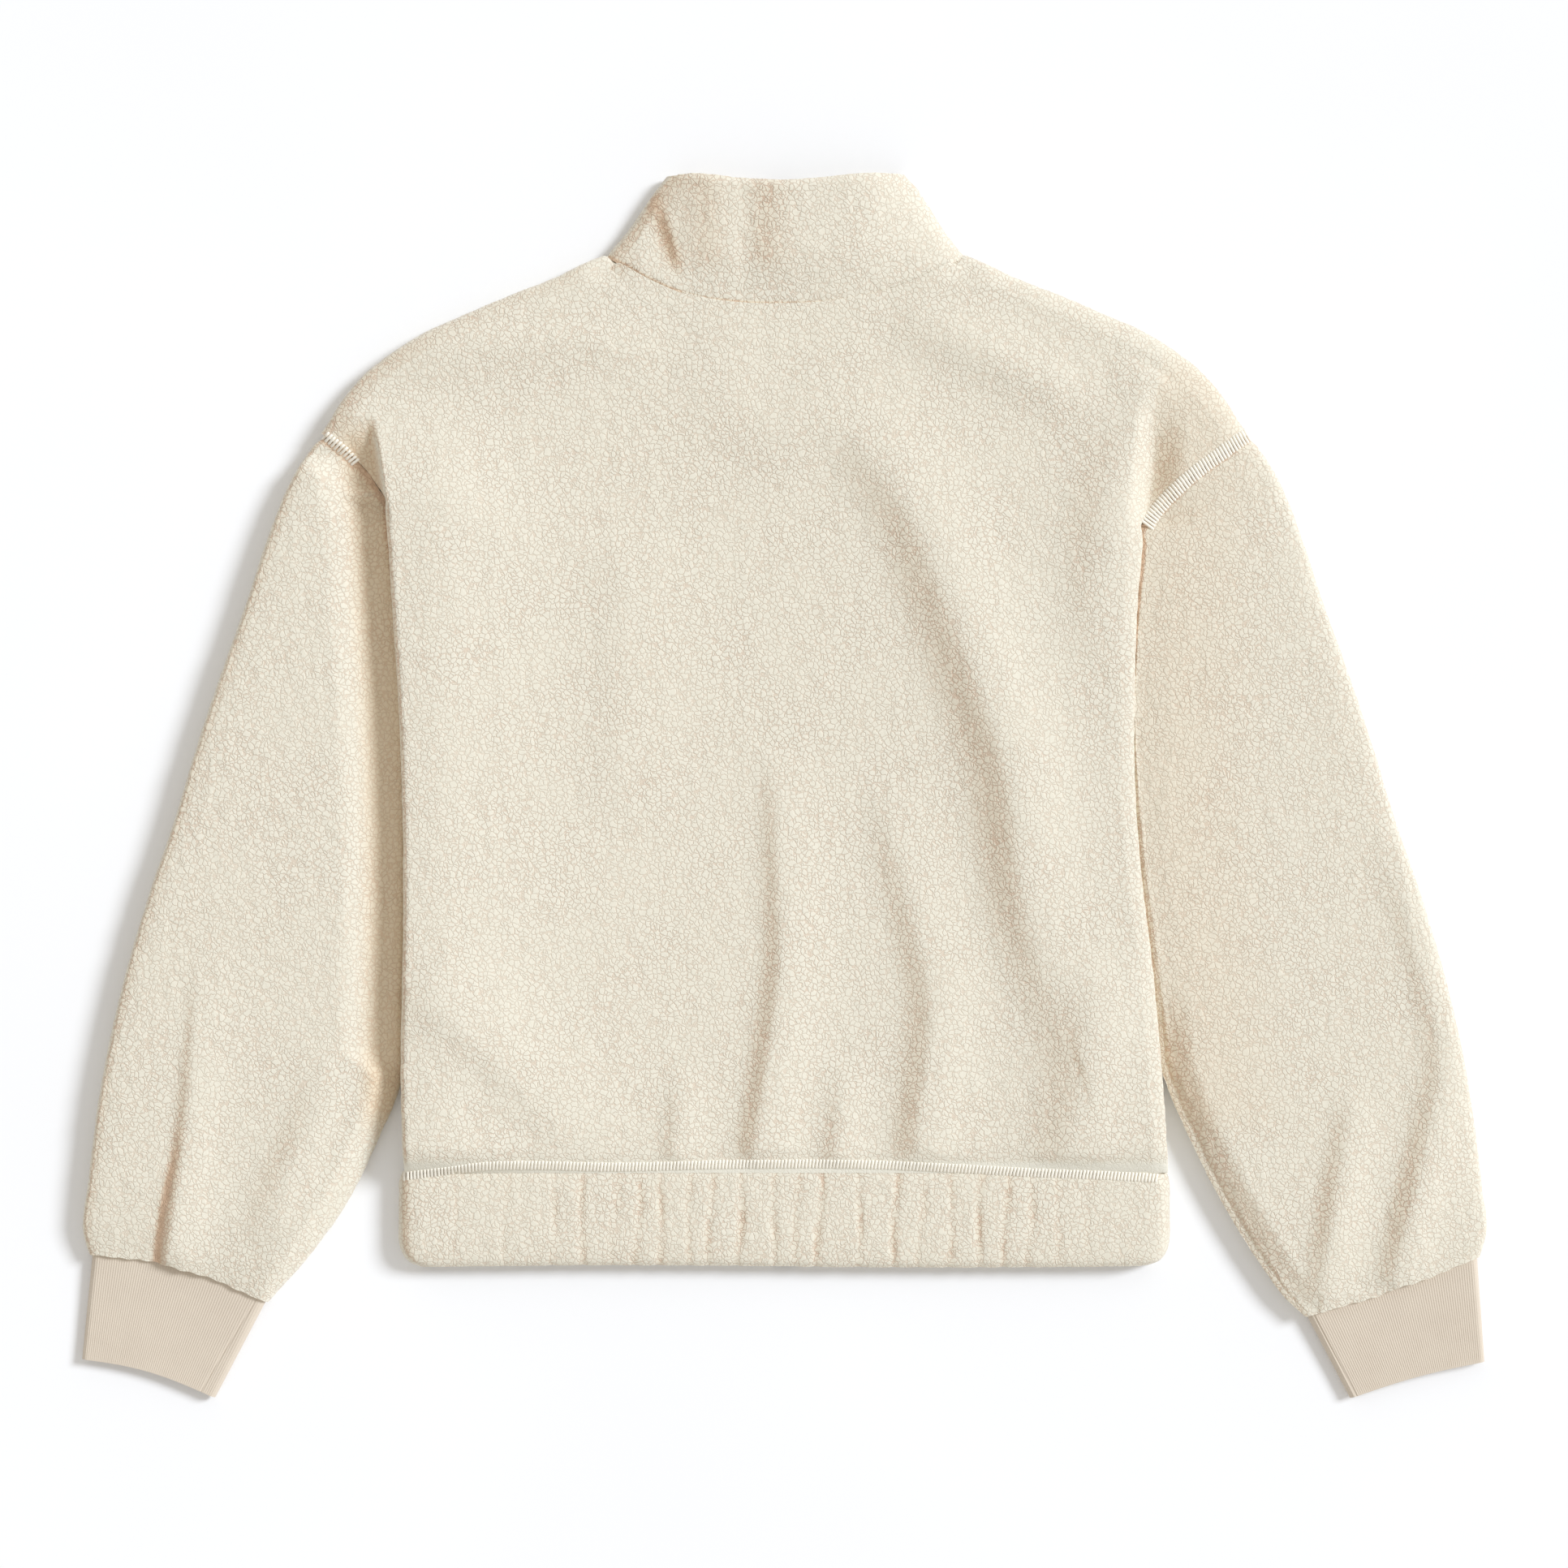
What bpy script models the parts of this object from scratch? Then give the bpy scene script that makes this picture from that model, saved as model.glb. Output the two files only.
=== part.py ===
"""Sherpa fleece jacket laid flat with its back up.

The jacket rests on z = 0 with the collar towards +Y and the hem towards -Y. Tables and sizes are
in millimetres, and every cloth piece is a closed wall: an outer grid of points, an inner grid set
in by the cloth's thickness, and a rim between the two.
"""
import math

import bmesh
import bpy
import numpy as np
from mathutils import Matrix

MM = 0.001
FLEECE = 4.0
FLEECE_AT_FOLD = 2.6
FLEECE_AT_ARMHOLE = 1.8
SEAM_GAP = 0.3
LEFT, RIGHT = -1, 1

# Cells of the outer grids, across and along the cloth
BACK_GRID = (40, 34)
SLEEVE_GRID = (30, 24)
COLLAR_GRID = (8, 30)
HEM_BAND_COLUMNS = 66

# Plan outline. x is measured from the centre line, y from the middle of the jacket's length.
HEM_SEAM_Y = -225.0
CENTRE_X, CENTRE_Y = -0.55, -1.5

# y, left half width, right half width of the body's rolled side edges
BODY_SIDE = (
    (-225, 220, 222),
    (-166, 221.5, 218),
    (-110, 220.5, 213),
    (-45, 220, 205.5),
    (17, 221.5, 202),
    (50, 223, 202.3),
    (95, 226, 203.5),
    (140, 229, 207),
    (164, 231.5, 209),
    (187, 234, 211.5),
    (214, 237, 213),
    (246, 238, 218),
)
# y, distance from the centre line of the armhole seam where it shows
ARMHOLE = {
    LEFT: ((164, 231.5), (174, 237), (184, 244.5), (194, 255), (203, 266.5)),
    RIGHT: ((149.5, 208), (157.5, 215), (169, 225.6), (180.5, 238), (191, 252.5), (203, 267.5)),
}
ARMHOLE_TOP_Y = 201.6
UNDERARM_Y = 45.0
# y of the points that a front's armhole shares with the underside of its sleeve
ARMHOLE_NODES = {
    LEFT: (45, 85, 125, 164, 174, 184, 194, 201),
    RIGHT: (45, 98, 149.5, 157.5, 169, 180.5, 191, 201),
}
# distance from the centre line, y of the shoulder edge
SHOULDER = (
    (104, 306),
    (118, 300),
    (131, 294),
    (160, 283),
    (187, 271.5),
    (211, 260.5),
    (229, 249),
    (248, 233),
    (259, 219),
    (267, 203),
)
# x, y of the neck seam at the back
NECKLINE = (
    (-104, 306),
    (-78.5, 292),
    (-55, 282.5),
    (-31.5, 279),
    (0, 278),
    (39, 281),
    (67, 288.5),
    (86, 297),
    (104, 306),
)
# distance from the centre line, y of the neck seam at the front
FRONT_NODES = (6.0, 30.0, 55.0, 80.0, 104.0, 140.0, 180.0, 225.0, 263.0)
FRONT_NECKLINE = ((0, 258), (30, 262), (60, 275), (85, 292), (104, 306))
# y, distance from the centre line of the sleeves' outer edge
SLEEVE_OUTER = (
    (-273, 404),
    (-262, 407),
    (-232, 404.3),
    (-190, 399),
    (-148, 391.5),
    (-105, 381),
    (-63, 368.5),
    (-21, 354),
    (22, 341),
    (64, 327),
    (106, 312),
    (148, 297),
    (177, 284),
    (203, 267),
)
# y, left and right distance from the centre line of the sleeves' free inner edge
SLEEVE_INNER = (
    (-309, 306, 302),
    (-301, 300, 293),
    (-281, 282, 277.5),
    (-247, 256.5, 256),
    (-205, 235.5, 234.5),
    (-172, 222.5, 220.5),
    (-160, 220.5, 217),
)
# share of the sleeve's length, y of its outer end, y of its inner end, bow of the ring
SLEEVE_RING = {
    LEFT: (
        (0.00, 201.6, 45, 1.00),
        (0.10, 165, 20, 0.75),
        (0.25, 100, -22, 0.42),
        (0.45, 10, -80, 0.12),
        (0.65, -85, -145, 0.00),
        (0.85, -190, -228, 0.00),
        (0.95, -247, -280, 0.00),
        (1.00, -273, -301, 0.00),
    ),
    RIGHT: (
        (0.00, 201.6, 45, 1.00),
        (0.10, 165, 20, 0.75),
        (0.25, 100, -22, 0.42),
        (0.45, 10, -80, 0.12),
        (0.65, -85, -145, 0.00),
        (0.85, -190, -230, 0.00),
        (0.95, -247, -286, 0.00),
        (1.00, -274, -309, 0.00),
    ),
}
CUFF_SEAM_BOW = {LEFT: 7.5, RIGHT: -1.0}

# Heights of the upper surface above the surface that the jacket lies on.
# x, height of the back across the body
BACK_HEIGHT = (
    (-222, 26.5),
    (-200, 27),
    (-170, 22.5),
    (-140, 18.5),
    (-100, 16.5),
    (0, 15.5),
    (100, 16.5),
    (160, 19),
    (190, 22),
    (210, 22.5),
)
YOKE_HEIGHT = 16.5
HEM_SEAM_HEIGHT = 13.0
# share of the sleeve's length, height of its upper surface
SLEEVE_HEIGHT = (
    (0.00, 17),
    (0.10, 19.5),
    (0.30, 21.5),
    (0.60, 21),
    (0.85, 18.5),
    (0.94, 16.5),
    (0.98, 13),
    (1.00, 10.5),
)
LIP_HEIGHT = 10.5
SLEEVE_TUCK = 0.8

# Folds, each a crest: x, y and height of points along it, then its width towards the left or
# below and its width towards the right or above.
BACK_FOLDS = {
    "shoulder_to_hip": (
        ((0, 222, 0), (30, 203, 3.5), (52, 190, 5.5), (78, 153, 6.5), (97, 116, 7), (122, 64, 8),
         (140, 17, 8), (146, -21, 8), (150, -63, 6.5), (158, -101, 4), (170, -135, 2)),
        14, 30),
    "centre": (
        ((-2, 25, 0), (1, -20, 3), (3, -100, 4.5), (-3, -152, 5), (-10, -204, 5), (-11, -215, 3)),
        9, 24),
    "right_of_centre": (
        ((66, 30, 0), (74, -10, 3), (91, -77, 4.5), (93, -138, 5), (82, -200, 5), (80, -215, 3)),
        12, 24),
    "right_hem": (
        ((180, -95, 0), (178, -133, 5), (166, -190, 5), (162, -214, 3)),
        20, 22),
    "hem_left_of_centre": (
        ((-61, -155, 0), (-60, -180, 3), (-62, -214, 3)),
        8, 13),
    "hem_by_centre": (
        ((35, -140, 0), (34, -165, 3), (31, -214, 3)),
        9, 13),
    "hip_left": (
        ((-216, -112, 3), (-205, -122, 5), (-172, -150, 6), (-130, -195, 4), (-122, -212, 1)),
        14, 34),
    "ribs_left": (
        ((-88, 150, 0), (-90, 110, 1.8), (-93, 10, 1.5), (-92, -30, 0)),
        18, 34),
    "yoke_left": (
        ((-228, 238, 0), (-190, 251, 2), (-110, 256, 2), (-70, 250, 0)),
        14, 12),
    "collar_to_right_shoulder": (
        ((60, 262, 0), (95, 258, 3), (150, 232, 3), (190, 205, 0)),
        16, 18),
    "collar_left_drag": (
        ((-60, 268, 0), (-40, 258, 1.5), (-28, 215, 2), (0, 200, 2.5), (30, 190, 0)),
        22, 16),
    "right_shoulder": (
        ((216, 240, 0), (210, 226, 3), (184, 170, 5), (176, 110, 4), (172, 60, 0)),
        17, 16),
}
SLEEVE_FOLDS = {
    LEFT: {
        "cuff_pleat": (
            ((-336, -90, 0), (-341, -150, 3), (-346, -204, 5), (-353, -250, 6), (-356, -276, 4)),
            7, 20),
        "elbow": (
            ((-262, -150, 0), (-270, -190, 2.5), (-290, -235, 3), (-305, -270, 0)),
            14, 14),
    },
    RIGHT: {
        "cuff_pleat": (
            ((350, -20, 0), (358, -60, 2.5), (371, -110, 3), (381, -157, 3.5), (373, -204, 5),
             (363, -247, 6), (355, -284, 4)),
            10, 16),
        "inner_pleat": (
            ((330, -170, 0), (326, -204, 3.5), (318, -250, 5), (312, -290, 3)),
            9, 14),
    },
}

# Rolled edges: how far a point is set in from the outline, and its share of the height, from
# the tucked seam edge to the flat top.
ROLL_INSET = (5.5, 2.0, 0.0, 3.2, 10.5)
ROLL_SHARE = (0.0, 0.2, 0.47, 0.8, 0.97)
SEAM_INSET = (0.0, 2.0, 4.5, 7.5, 12.0)

# Hem band, a casing folded over elastic.
HEM_BAND_LAYER = 5.8
HEM_BAND_HEIGHT = 15.0
HEM_BAND_SIDE = {LEFT: 224.0, RIGHT: 223.5}
# y from the seam down, inset of the side edge, height lost on top, share of the layer kept
HEM_BAND_ROW = (
    (0.0, 2.0, 2.0, 0.70),
    (-6.0, 0.3, 0.3, 0.95),
    (-20.0, 0.0, 0.0, 1.00),
    (-37.0, 0.0, 0.0, 1.00),
    (-46.0, 1.8, 0.5, 1.00),
    (-51.5, 5.5, 1.6, 0.80),
    (-54.5, 12.0, 4.0, 0.40),
)
# x of the troughs between the gathers, with their depth
GATHERS = (
    (-133, 1.2), (-116, 1.8), (-97, 1.2), (-84, 1.8), (-70, 2.0), (-54, 1.8), (-42, 1.6),
    (-25, 2.2), (-5, 1.8), (8, 1.8), (21, 2.2), (44, 1.8), (65, 2.2), (80, 1.6), (97, 1.8),
    (114, 2.2), (129, 2.0), (143, 1.6), (159, 1.2), (177, 0.8), (-160, 0.8), (-190, 0.6),
)
GATHER_WIDTH = 4.2
HEM_WAVE, HEM_WAVE_LENGTH = 0.012, 60.0

# Collar. y, left and right distance from the centre line of its folded side edges
COLLAR_SIDE = (
    (306, 103.5, 104.5),
    (311, 99.5, 100),
    (322.5, 89.8, 91.2),
    (334, 82.2, 84),
    (345, 74.3, 76.5),
    (353, 68, 69),
)
# x, y of the collar's top edge
COLLAR_TOP = ((-70, 352.5), (-50, 353.2), (-31, 351), (-12, 349.6), (6, 349.2), (25, 351),
              (44, 353), (70, 353.5))
COLLAR_FRONT_TOP_Y = 347.0
COLLAR_HEIGHT = (
    (-104, 12.5),
    (-80, 13),
    (-70, 13.5),
    (-60, 19),
    (-48, 20),
    (-28, 17.5),
    (-18, 17),
    (-4, 20.5),
    (15, 21),
    (40, 21),
    (52, 20),
    (63, 15.5),
    (80, 14),
    (104, 12.5),
)

# Cuffs, flattened tubes of rib knit.
CUFF_LAYER = 2.8
CUFF_HEIGHT = 6.6
CUFF_RIBS = 60
RIB_DEPTH = 0.35
CUFF_ROWS = (0.0, 0.06, 0.5, 0.95, 1.0)
CUFF_SWELL = 1.6
# outer and inner end of the cuff's open edge
CUFF_OPENING = {
    LEFT: ((-408.5, -334), (-331, -356.5)),
    RIGHT: ((406.8, -335.5), (328.5, -356.8)),
}
CUFF_EDGE_BOW = {LEFT: 4.0, RIGHT: 2.0}

# Front zip, in the channel between the two fronts.
CHANNEL_HALF = 6.0
TAPE_HALF = 13.0
TAPE_IN_BAND_HALF = 5.6
TAPE_BOTTOM, TAPE_TOP = 4.3, 4.9
CHAIN_HALF = 2.9
CHAIN_BOTTOM = 3.4
ZIP_BOTTOM_Y, ZIP_TOP_Y = -270.0, 340.0
SLIDER_Y = 331.0
SLIDER_HALF = (4.0, 5.0)
SLIDER_PLATE = (2.35, 3.1)
BAIL = (0.3, 0.95)
BAIL_HALF_WIDTH = 1.0
BAIL_HALF_LENGTH = 3.6
BAIL_LEG = 1.1
BAIL_CORNER = 0.3
BAIL_SUNK = 0.3
PIN_Z = 1.65
PIN_RADIUS = 0.45
PIN_SIDES = 10
PIN_INSET = 0.3
PULL_HALF = 3.5
PULL_ARM = 1.2
PULL_THICKNESS = 0.9
PULL_LENGTH = 24.0
PULL_HEAD = 0.4
PULL_SLOT = 6.0
PULL_CORNER = 1.0

FLEECE_COLOUR = (0.79, 0.74, 0.64, 1.0)
RIB_COLOUR = (0.70, 0.61, 0.51, 1.0)
TAPE_COLOUR = (0.72, 0.67, 0.58, 1.0)
METAL_COLOUR = (0.62, 0.60, 0.57, 1.0)


def spline(key, table, column=1):
    """Smooth value of a table's column at a key, which is in the table's first column."""
    rows = sorted(table)
    keys = np.array([row[0] for row in rows], float)
    values = np.array([row[column] for row in rows], float)
    slopes = np.gradient(values, keys)
    key = np.clip(np.asarray(key, float), keys[0], keys[-1])
    cell = np.clip(np.searchsorted(keys, key) - 1, 0, len(keys) - 2)
    width = keys[cell + 1] - keys[cell]
    part = (key - keys[cell]) / width
    start = (1 + 2 * part) * (1 - part) ** 2 * values[cell]
    start_slope = part * (1 - part) ** 2 * width * slopes[cell]
    end = part ** 2 * (3 - 2 * part) * values[cell + 1]
    end_slope = part ** 2 * (part - 1) * width * slopes[cell + 1]
    return start + start_slope + end + end_slope


def ease(part):
    """Smooth step from 0 to 1."""
    part = np.clip(part, 0.0, 1.0)
    return part * part * (3 - 2 * part)


def side_column(side):
    """Column of a table that has left and right values."""
    return 1 if side == LEFT else 2


def fold_height(x, y, folds):
    """Height that a table of folds adds at plan points."""
    total = np.zeros(np.broadcast(x, y).shape)
    for crest, width_left, width_right in folds.values():
        steps = np.arange(len(crest))
        fine = np.linspace(0, len(crest) - 1, 8 * len(crest))
        line = [spline(fine, [(step, row[part]) for step, row in zip(steps, crest)])
                for part in range(3)]
        best = np.full(total.shape, 1e9)
        across = np.zeros(total.shape)
        height = np.zeros(total.shape)
        for number in range(len(fine) - 1):
            ax, ay = line[0][number], line[1][number]
            dx, dy = line[0][number + 1] - ax, line[1][number + 1] - ay
            length = math.hypot(dx, dy)
            part = np.clip(((x - ax) * dx + (y - ay) * dy) / length ** 2, 0, 1)
            away = np.hypot(x - ax - part * dx, y - ay - part * dy)
            nearer = away < best
            side = np.sign(dx * (y - ay) - dy * (x - ax))
            best = np.where(nearer, away, best)
            across = np.where(nearer, away * side, across)
            here = line[2][number] + part * (line[2][number + 1] - line[2][number])
            height = np.where(nearer, here, height)
        width = np.where(across > 0, width_right, width_left)
        total = total + np.maximum(height, 0) * np.exp(-(best / width) ** 2)
    return total


def shoulder_valley(x, y, top, side):
    """Height beside the body's rolled edge, where the cloth dips under it."""
    away = side * x - inner_limit(y, side)
    if side == LEFT:
        start = 5.0 * ease((y + 172) / 20)
        return LIP_HEIGHT + (top - LIP_HEIGHT) * ease((away - start) / 17)
    return LIP_HEIGHT + (top - LIP_HEIGHT) * ease((away + 2) / 18)


def inner_limit(y, side):
    """Distance from the centre line of the sleeve's inner edge."""
    column = side_column(side)
    free = spline(y, SLEEVE_INNER, column)
    free_of_back = ease((np.asarray(y) - ARMHOLE[side][0][0] + 28) / 18)
    beside_body = spline(y, BODY_SIDE, column) - SLEEVE_TUCK * (1 - 2.4 * free_of_back)
    return free + ease((np.asarray(y) + 176) / 26) * (beside_body - free)


def back_height(x, y):
    """Height of the back's upper surface inside the rolled edges."""
    height = spline(x, BACK_HEIGHT)
    height = height + (YOKE_HEIGHT - height) * ease((y - 130) / 90)
    rise = np.clip((y - HEM_SEAM_Y) / 17, 0, 1)
    height = HEM_SEAM_HEIGHT + (height - HEM_SEAM_HEIGHT) * (1 - (1 - rise) ** 2.2)
    fade = ease((y - HEM_SEAM_Y) / 12)
    height = height + fade * fold_height(x, y, BACK_FOLDS)
    for side, start, full in ((LEFT, 216, 184), (RIGHT, 240, 178)):
        inside = spline(y, BODY_SIDE, side_column(side)) - side * x
        step = ease((start - y) / (start - full)) * (1 - ease((inside + 4) / 14))
        step = step * ease((y - ARMHOLE[side][0][0] + 12) / 22)
        height = height + step * (shoulder_valley(x, y, SLEEVE_HEIGHT[0][1], side) - height)
    return height


def top_edge(x):
    """y of the back's upper outline: shoulder, neck seam, shoulder."""
    neck = spline(x, NECKLINE)
    shoulder = spline(np.abs(x), SHOULDER)
    return np.where(np.abs(x) < 104, neck, shoulder)


def back_rows(columns, rows):
    """Outer points of the back panel, rows from the hem seam to the shoulders."""
    roll = len(ROLL_INSET)
    inner_columns = columns - 2 * (roll - 1)
    share = np.concatenate((np.zeros(roll - 1), np.linspace(0, 1, inner_columns + 1),
                            np.ones(roll - 1)))
    spread = np.concatenate((np.linspace(0, 1, roll)[:-1], np.ones(inner_columns + 1),
                             np.linspace(1, 0, roll)[1:]))
    inset = np.concatenate((ROLL_INSET[:-1], np.full(inner_columns + 1, ROLL_INSET[-1]),
                            ROLL_INSET[-2::-1]))
    kept = np.concatenate((ROLL_SHARE[:-1], np.ones(inner_columns + 1), ROLL_SHARE[-2::-1]))
    column_side = np.where(share < 0.5, LEFT, RIGHT)
    corner_left, corner_right = ARMHOLE[LEFT][-1], ARMHOLE[RIGHT][-1]
    top_left = -corner_left[1] + spread * (corner_left[1] - 225)
    top_right = corner_right[1] - spread * (corner_right[1] - 205)
    x_top = np.where(spread < 1, np.where(column_side == LEFT, top_left, top_right),
                     -225 + share * 430)
    y_top = top_edge(x_top)
    slope = (top_edge(x_top + 1) - top_edge(x_top - 1)) / 2
    on_shoulder = ease((np.abs(x_top) - 103) / 11)
    lean = slope / np.hypot(slope, 1) * on_shoulder

    top_rows = roll - 1
    low_rows = rows - top_rows
    climb = np.linspace(0, 1, low_rows + 1)
    climb = climb - 0.065 * np.sin(2 * np.pi * climb)
    points = np.zeros((rows + 1, columns + 1, 3))
    for row in range(rows + 1):
        if row <= low_rows:
            top_inset = np.full(columns + 1, ROLL_INSET[-1])
            seam_inset = np.full(columns + 1, SEAM_INSET[-1])
            top_share = np.ones(columns + 1)
            part = climb[row]
        else:
            step = roll - 1 - (row - low_rows)
            top_inset = np.full(columns + 1, ROLL_INSET[step])
            seam_inset = np.full(columns + 1, SEAM_INSET[step])
            top_share = np.full(columns + 1, ROLL_SHARE[step])
            part = 1.0
        setback = top_inset * on_shoulder + seam_inset * (1 - on_shoulder)
        y_last = y_top - setback * np.sqrt(1 - lean ** 2)
        x_shift = lean * setback * spread * float(ease((part - 0.8) / 0.2))
        y = HEM_SEAM_Y + part * (y_last - HEM_SEAM_Y)
        x = np.zeros(columns + 1)
        rolled = np.zeros(columns + 1)
        for side, end in ((LEFT, 0), (RIGHT, columns)):
            seam_y = ARMHOLE[side][0][0]
            y_end = y[end]
            under = 1 - ease((y_end - seam_y + 12) / 22)
            body = spline(y, BODY_SIDE, side_column(side))
            tucked = side * (body - inset)
            reach = spline(y_end, ARMHOLE[side])
            outward = side * (reach + spread * (body - ROLL_INSET[-1] - reach))
            mine = column_side == side
            placed = outward + under * (tucked - outward)
            x = np.where(mine & (spread < 1), placed, x)
            rolled = np.where(mine, under, rolled)
            if side == LEFT:
                left_x = -(body - ROLL_INSET[-1])
            else:
                right_x = body - ROLL_INSET[-1]
        inner = spread >= 1
        x = np.where(inner, left_x + share * (right_x - left_x), x) + x_shift
        height = back_height(x, y)
        side_share = 1 + rolled * (kept - 1)
        row_share = 1 + on_shoulder * (top_share - 1)
        low = FLEECE + SEAM_GAP
        points[row, :, 0] = x
        points[row, :, 1] = y
        points[row, :, 2] = low + (height - low) * side_share * row_share
    return points


def back_seam(side):
    """The back's armhole edge, upwards to the shoulder's outline."""
    rows = back_rows(*BACK_GRID)
    edge = rows[:-len(ROLL_INSET) + 1, 0 if side == LEFT else -1]
    corner = rows[1 - len(ROLL_INSET) + 1, 0 if side == LEFT else -1].copy()
    corner[2] = edge[-1, 2]
    return np.vstack((edge, corner))


def back_depth(outer):
    """Thickness of the back's wall, thinner along its rolled edges."""
    depth = np.full(outer.shape[:2], FLEECE)
    roll = len(ROLL_INSET) - 1
    depth[:, :roll + 1] = FLEECE_AT_FOLD
    depth[:, -roll - 1:] = FLEECE_AT_FOLD
    for side, columns in ((LEFT, slice(0, roll + 3)), (RIGHT, slice(-roll - 3, None))):
        above = outer[:, columns, 1] - ARMHOLE[side][0][0]
        pinched = (above > -18) & (above < 34)
        depth[:, columns] = np.where(pinched, FLEECE_AT_ARMHOLE, depth[:, columns])
    away = np.abs(outer[-roll:, :, 0])
    depth[-roll:] = np.where(away > 90, FLEECE_AT_FOLD, depth[-roll:])
    depth[-roll:] = np.where((away > 90) & (away < 130), FLEECE_AT_ARMHOLE, depth[-roll:])
    return depth


def back_inner(outer):
    """Inner points of the back, kept above the fronts."""
    inner = set_in(outer, back_depth(outer), False, (1, 1))
    inner[..., 2] = np.maximum(inner[..., 2], FLEECE + SEAM_GAP)
    return inner


def sleeve_rings(side, columns, rings):
    """Outer points of a sleeve: rings from the armhole to the cuff seam, closed round the arm."""
    column = side_column(side)
    armhole_y = np.linspace(ARMHOLE_TOP_Y, UNDERARM_Y, 80)
    back_edge = back_seam(side)
    seam = np.interp(armhole_y, back_edge[:, 1], side * back_edge[:, 0]) + 2 * SEAM_GAP
    seam = seam + 2.2 * np.exp(-((armhole_y - ARMHOLE[side][0][0] + 2) / 9.0) ** 2)
    seam = np.maximum(seam, inner_limit(armhole_y, side))
    length = np.concatenate(([0], np.cumsum(np.hypot(np.diff(seam), np.diff(armhole_y)))))
    shared = [float(np.interp(-y, -armhole_y, length)) / length[-1]
             for y in ARMHOLE_NODES[side][1:-1]]
    top_columns = columns - len(shared) - 3
    points = np.zeros((rings + 1, columns, 3))
    for ring in range(rings + 1):
        t = (ring / rings) ** 0.95
        outer_y = spline(t, SLEEVE_RING[side], 1)
        inner_y = spline(t, SLEEVE_RING[side], 2)
        bow = max(float(spline(t, SLEEVE_RING[side], 3)), 0.0)
        outer = np.array((spline(outer_y, SLEEVE_OUTER), outer_y))
        inner = np.array((inner_limit(inner_y, side), inner_y))
        if ring == 0:
            outer = np.array((seam[0], ARMHOLE_TOP_Y))
        width = float(np.hypot(*(outer - inner)))
        out_mm = np.array((0.0, 3.0, 9.5))
        in_mm = np.array((34.0, 28.0, 22.0, 16.5, 11.5, 7.0, 3.5, 0.0))
        middle = np.linspace(out_mm[-1], width - in_mm[0], top_columns - 9)[1:-1]
        along = np.concatenate((out_mm, middle, width - in_mm)) / width
        bottom = np.array([1 - 3.0 / width] + shared + [5.0 / width, 1.2 / width])
        height = float(spline(t, SLEEVE_HEIGHT))
        xs, ys, zs = [], [], []
        for s, under in [(s, False) for s in along] + [(s, True) for s in bottom]:
            chord = outer + s * (inner - outer)
            seam_x = float(np.interp(s * length[-1], length, seam))
            seam_y = float(np.interp(s * length[-1], length, armhole_y))
            chord0 = np.array((seam[0], ARMHOLE_TOP_Y)) * (1 - s) + s * np.array((seam[-1], UNDERARM_Y))
            offset = bow * (np.array((seam_x, seam_y)) - chord0)
            arch = CUFF_SEAM_BOW[side] * math.sin(math.pi * s) * float(ease((t - 0.8) / 0.2))
            x, y = chord + offset + np.array((0.0, arch))
            xs.append(side * x)
            ys.append(y)
            if under:
                zs.append(0.0 if s > 2.0 / width else 3.4)
                continue
            top = float(shoulder_valley(side * x, y, height, side))
            fade = float(ease(t / 0.15) * ease((1.02 - t) / 0.06))
            top = top + fade * float(fold_height(np.array(side * x), np.array(y),
                                                 SLEEVE_FOLDS[side]))
            if ring == 0 and y > ARMHOLE[side][0][0]:
                top = float(np.interp(y, back_edge[:, 1], back_edge[:, 2]))
            edge = s * width
            if ring == 0:
                edge = s * length[-1]
            if edge < 1:
                top = 0.47 * top
            elif edge < 5:
                top = 0.80 * top
            elif edge < 12:
                top = 0.97 * top
            if s >= 1 - 1e-6:
                top = 0.5 * LIP_HEIGHT
            elif (1 - s) * width < 4:
                top = min(top, LIP_HEIGHT - 1.2)
            zs.append(top)
        points[ring, :, 0] = xs
        points[ring, :, 1] = ys
        points[ring, :, 2] = zs
    return points


def sleeve_depth(columns):
    """Thickness of a sleeve's wall by column, thinner where it folds over."""
    depth = np.full(columns, FLEECE)
    under = len(ARMHOLE_NODES[LEFT]) - 2
    top = columns - under - 3
    for column in (0, 1, top - 3, top - 2, top - 1, top, columns - 2, columns - 1):
        depth[column] = FLEECE_AT_FOLD
    for column in (0, top - 1, columns - 1):
        depth[column] = FLEECE_AT_ARMHOLE
    return depth


def front_rows(side):
    """Upper points of a front panel, which lies flat under the back."""
    nodes = ARMHOLE_NODES[side]
    side_rows = [-225, -200, -170, -140, -110, -80, -45, 0] + list(nodes)
    points = np.zeros((len(side_rows), len(FRONT_NODES), 3))
    for row, side_y in enumerate(side_rows):
        part = (side_y - HEM_SEAM_Y) / (nodes[-1] - HEM_SEAM_Y)
        seam_y = ARMHOLE[side][0][0]
        if side_y > seam_y:
            reach = float(spline(side_y, ARMHOLE[side])) - SEAM_GAP
        elif side_y >= UNDERARM_Y:
            reach = float(inner_limit(side_y, side)) - SEAM_GAP
        else:
            reach = float(spline(side_y, BODY_SIDE, side_column(side))) - 3.5
        for column, x_top in enumerate(FRONT_NODES):
            across = (x_top - FRONT_NODES[0]) / (FRONT_NODES[-1] - FRONT_NODES[0])
            x = CHANNEL_HALF + across * (reach - CHANNEL_HALF)
            if x_top < 104:
                last = float(spline(x_top, FRONT_NECKLINE)) - SEAM_GAP
            else:
                last = float(spline(x_top, SHOULDER)) - 3.0
            y = HEM_SEAM_Y + part * (last - HEM_SEAM_Y)
            points[row, column] = (side * x, y, FLEECE)
    return points


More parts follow.
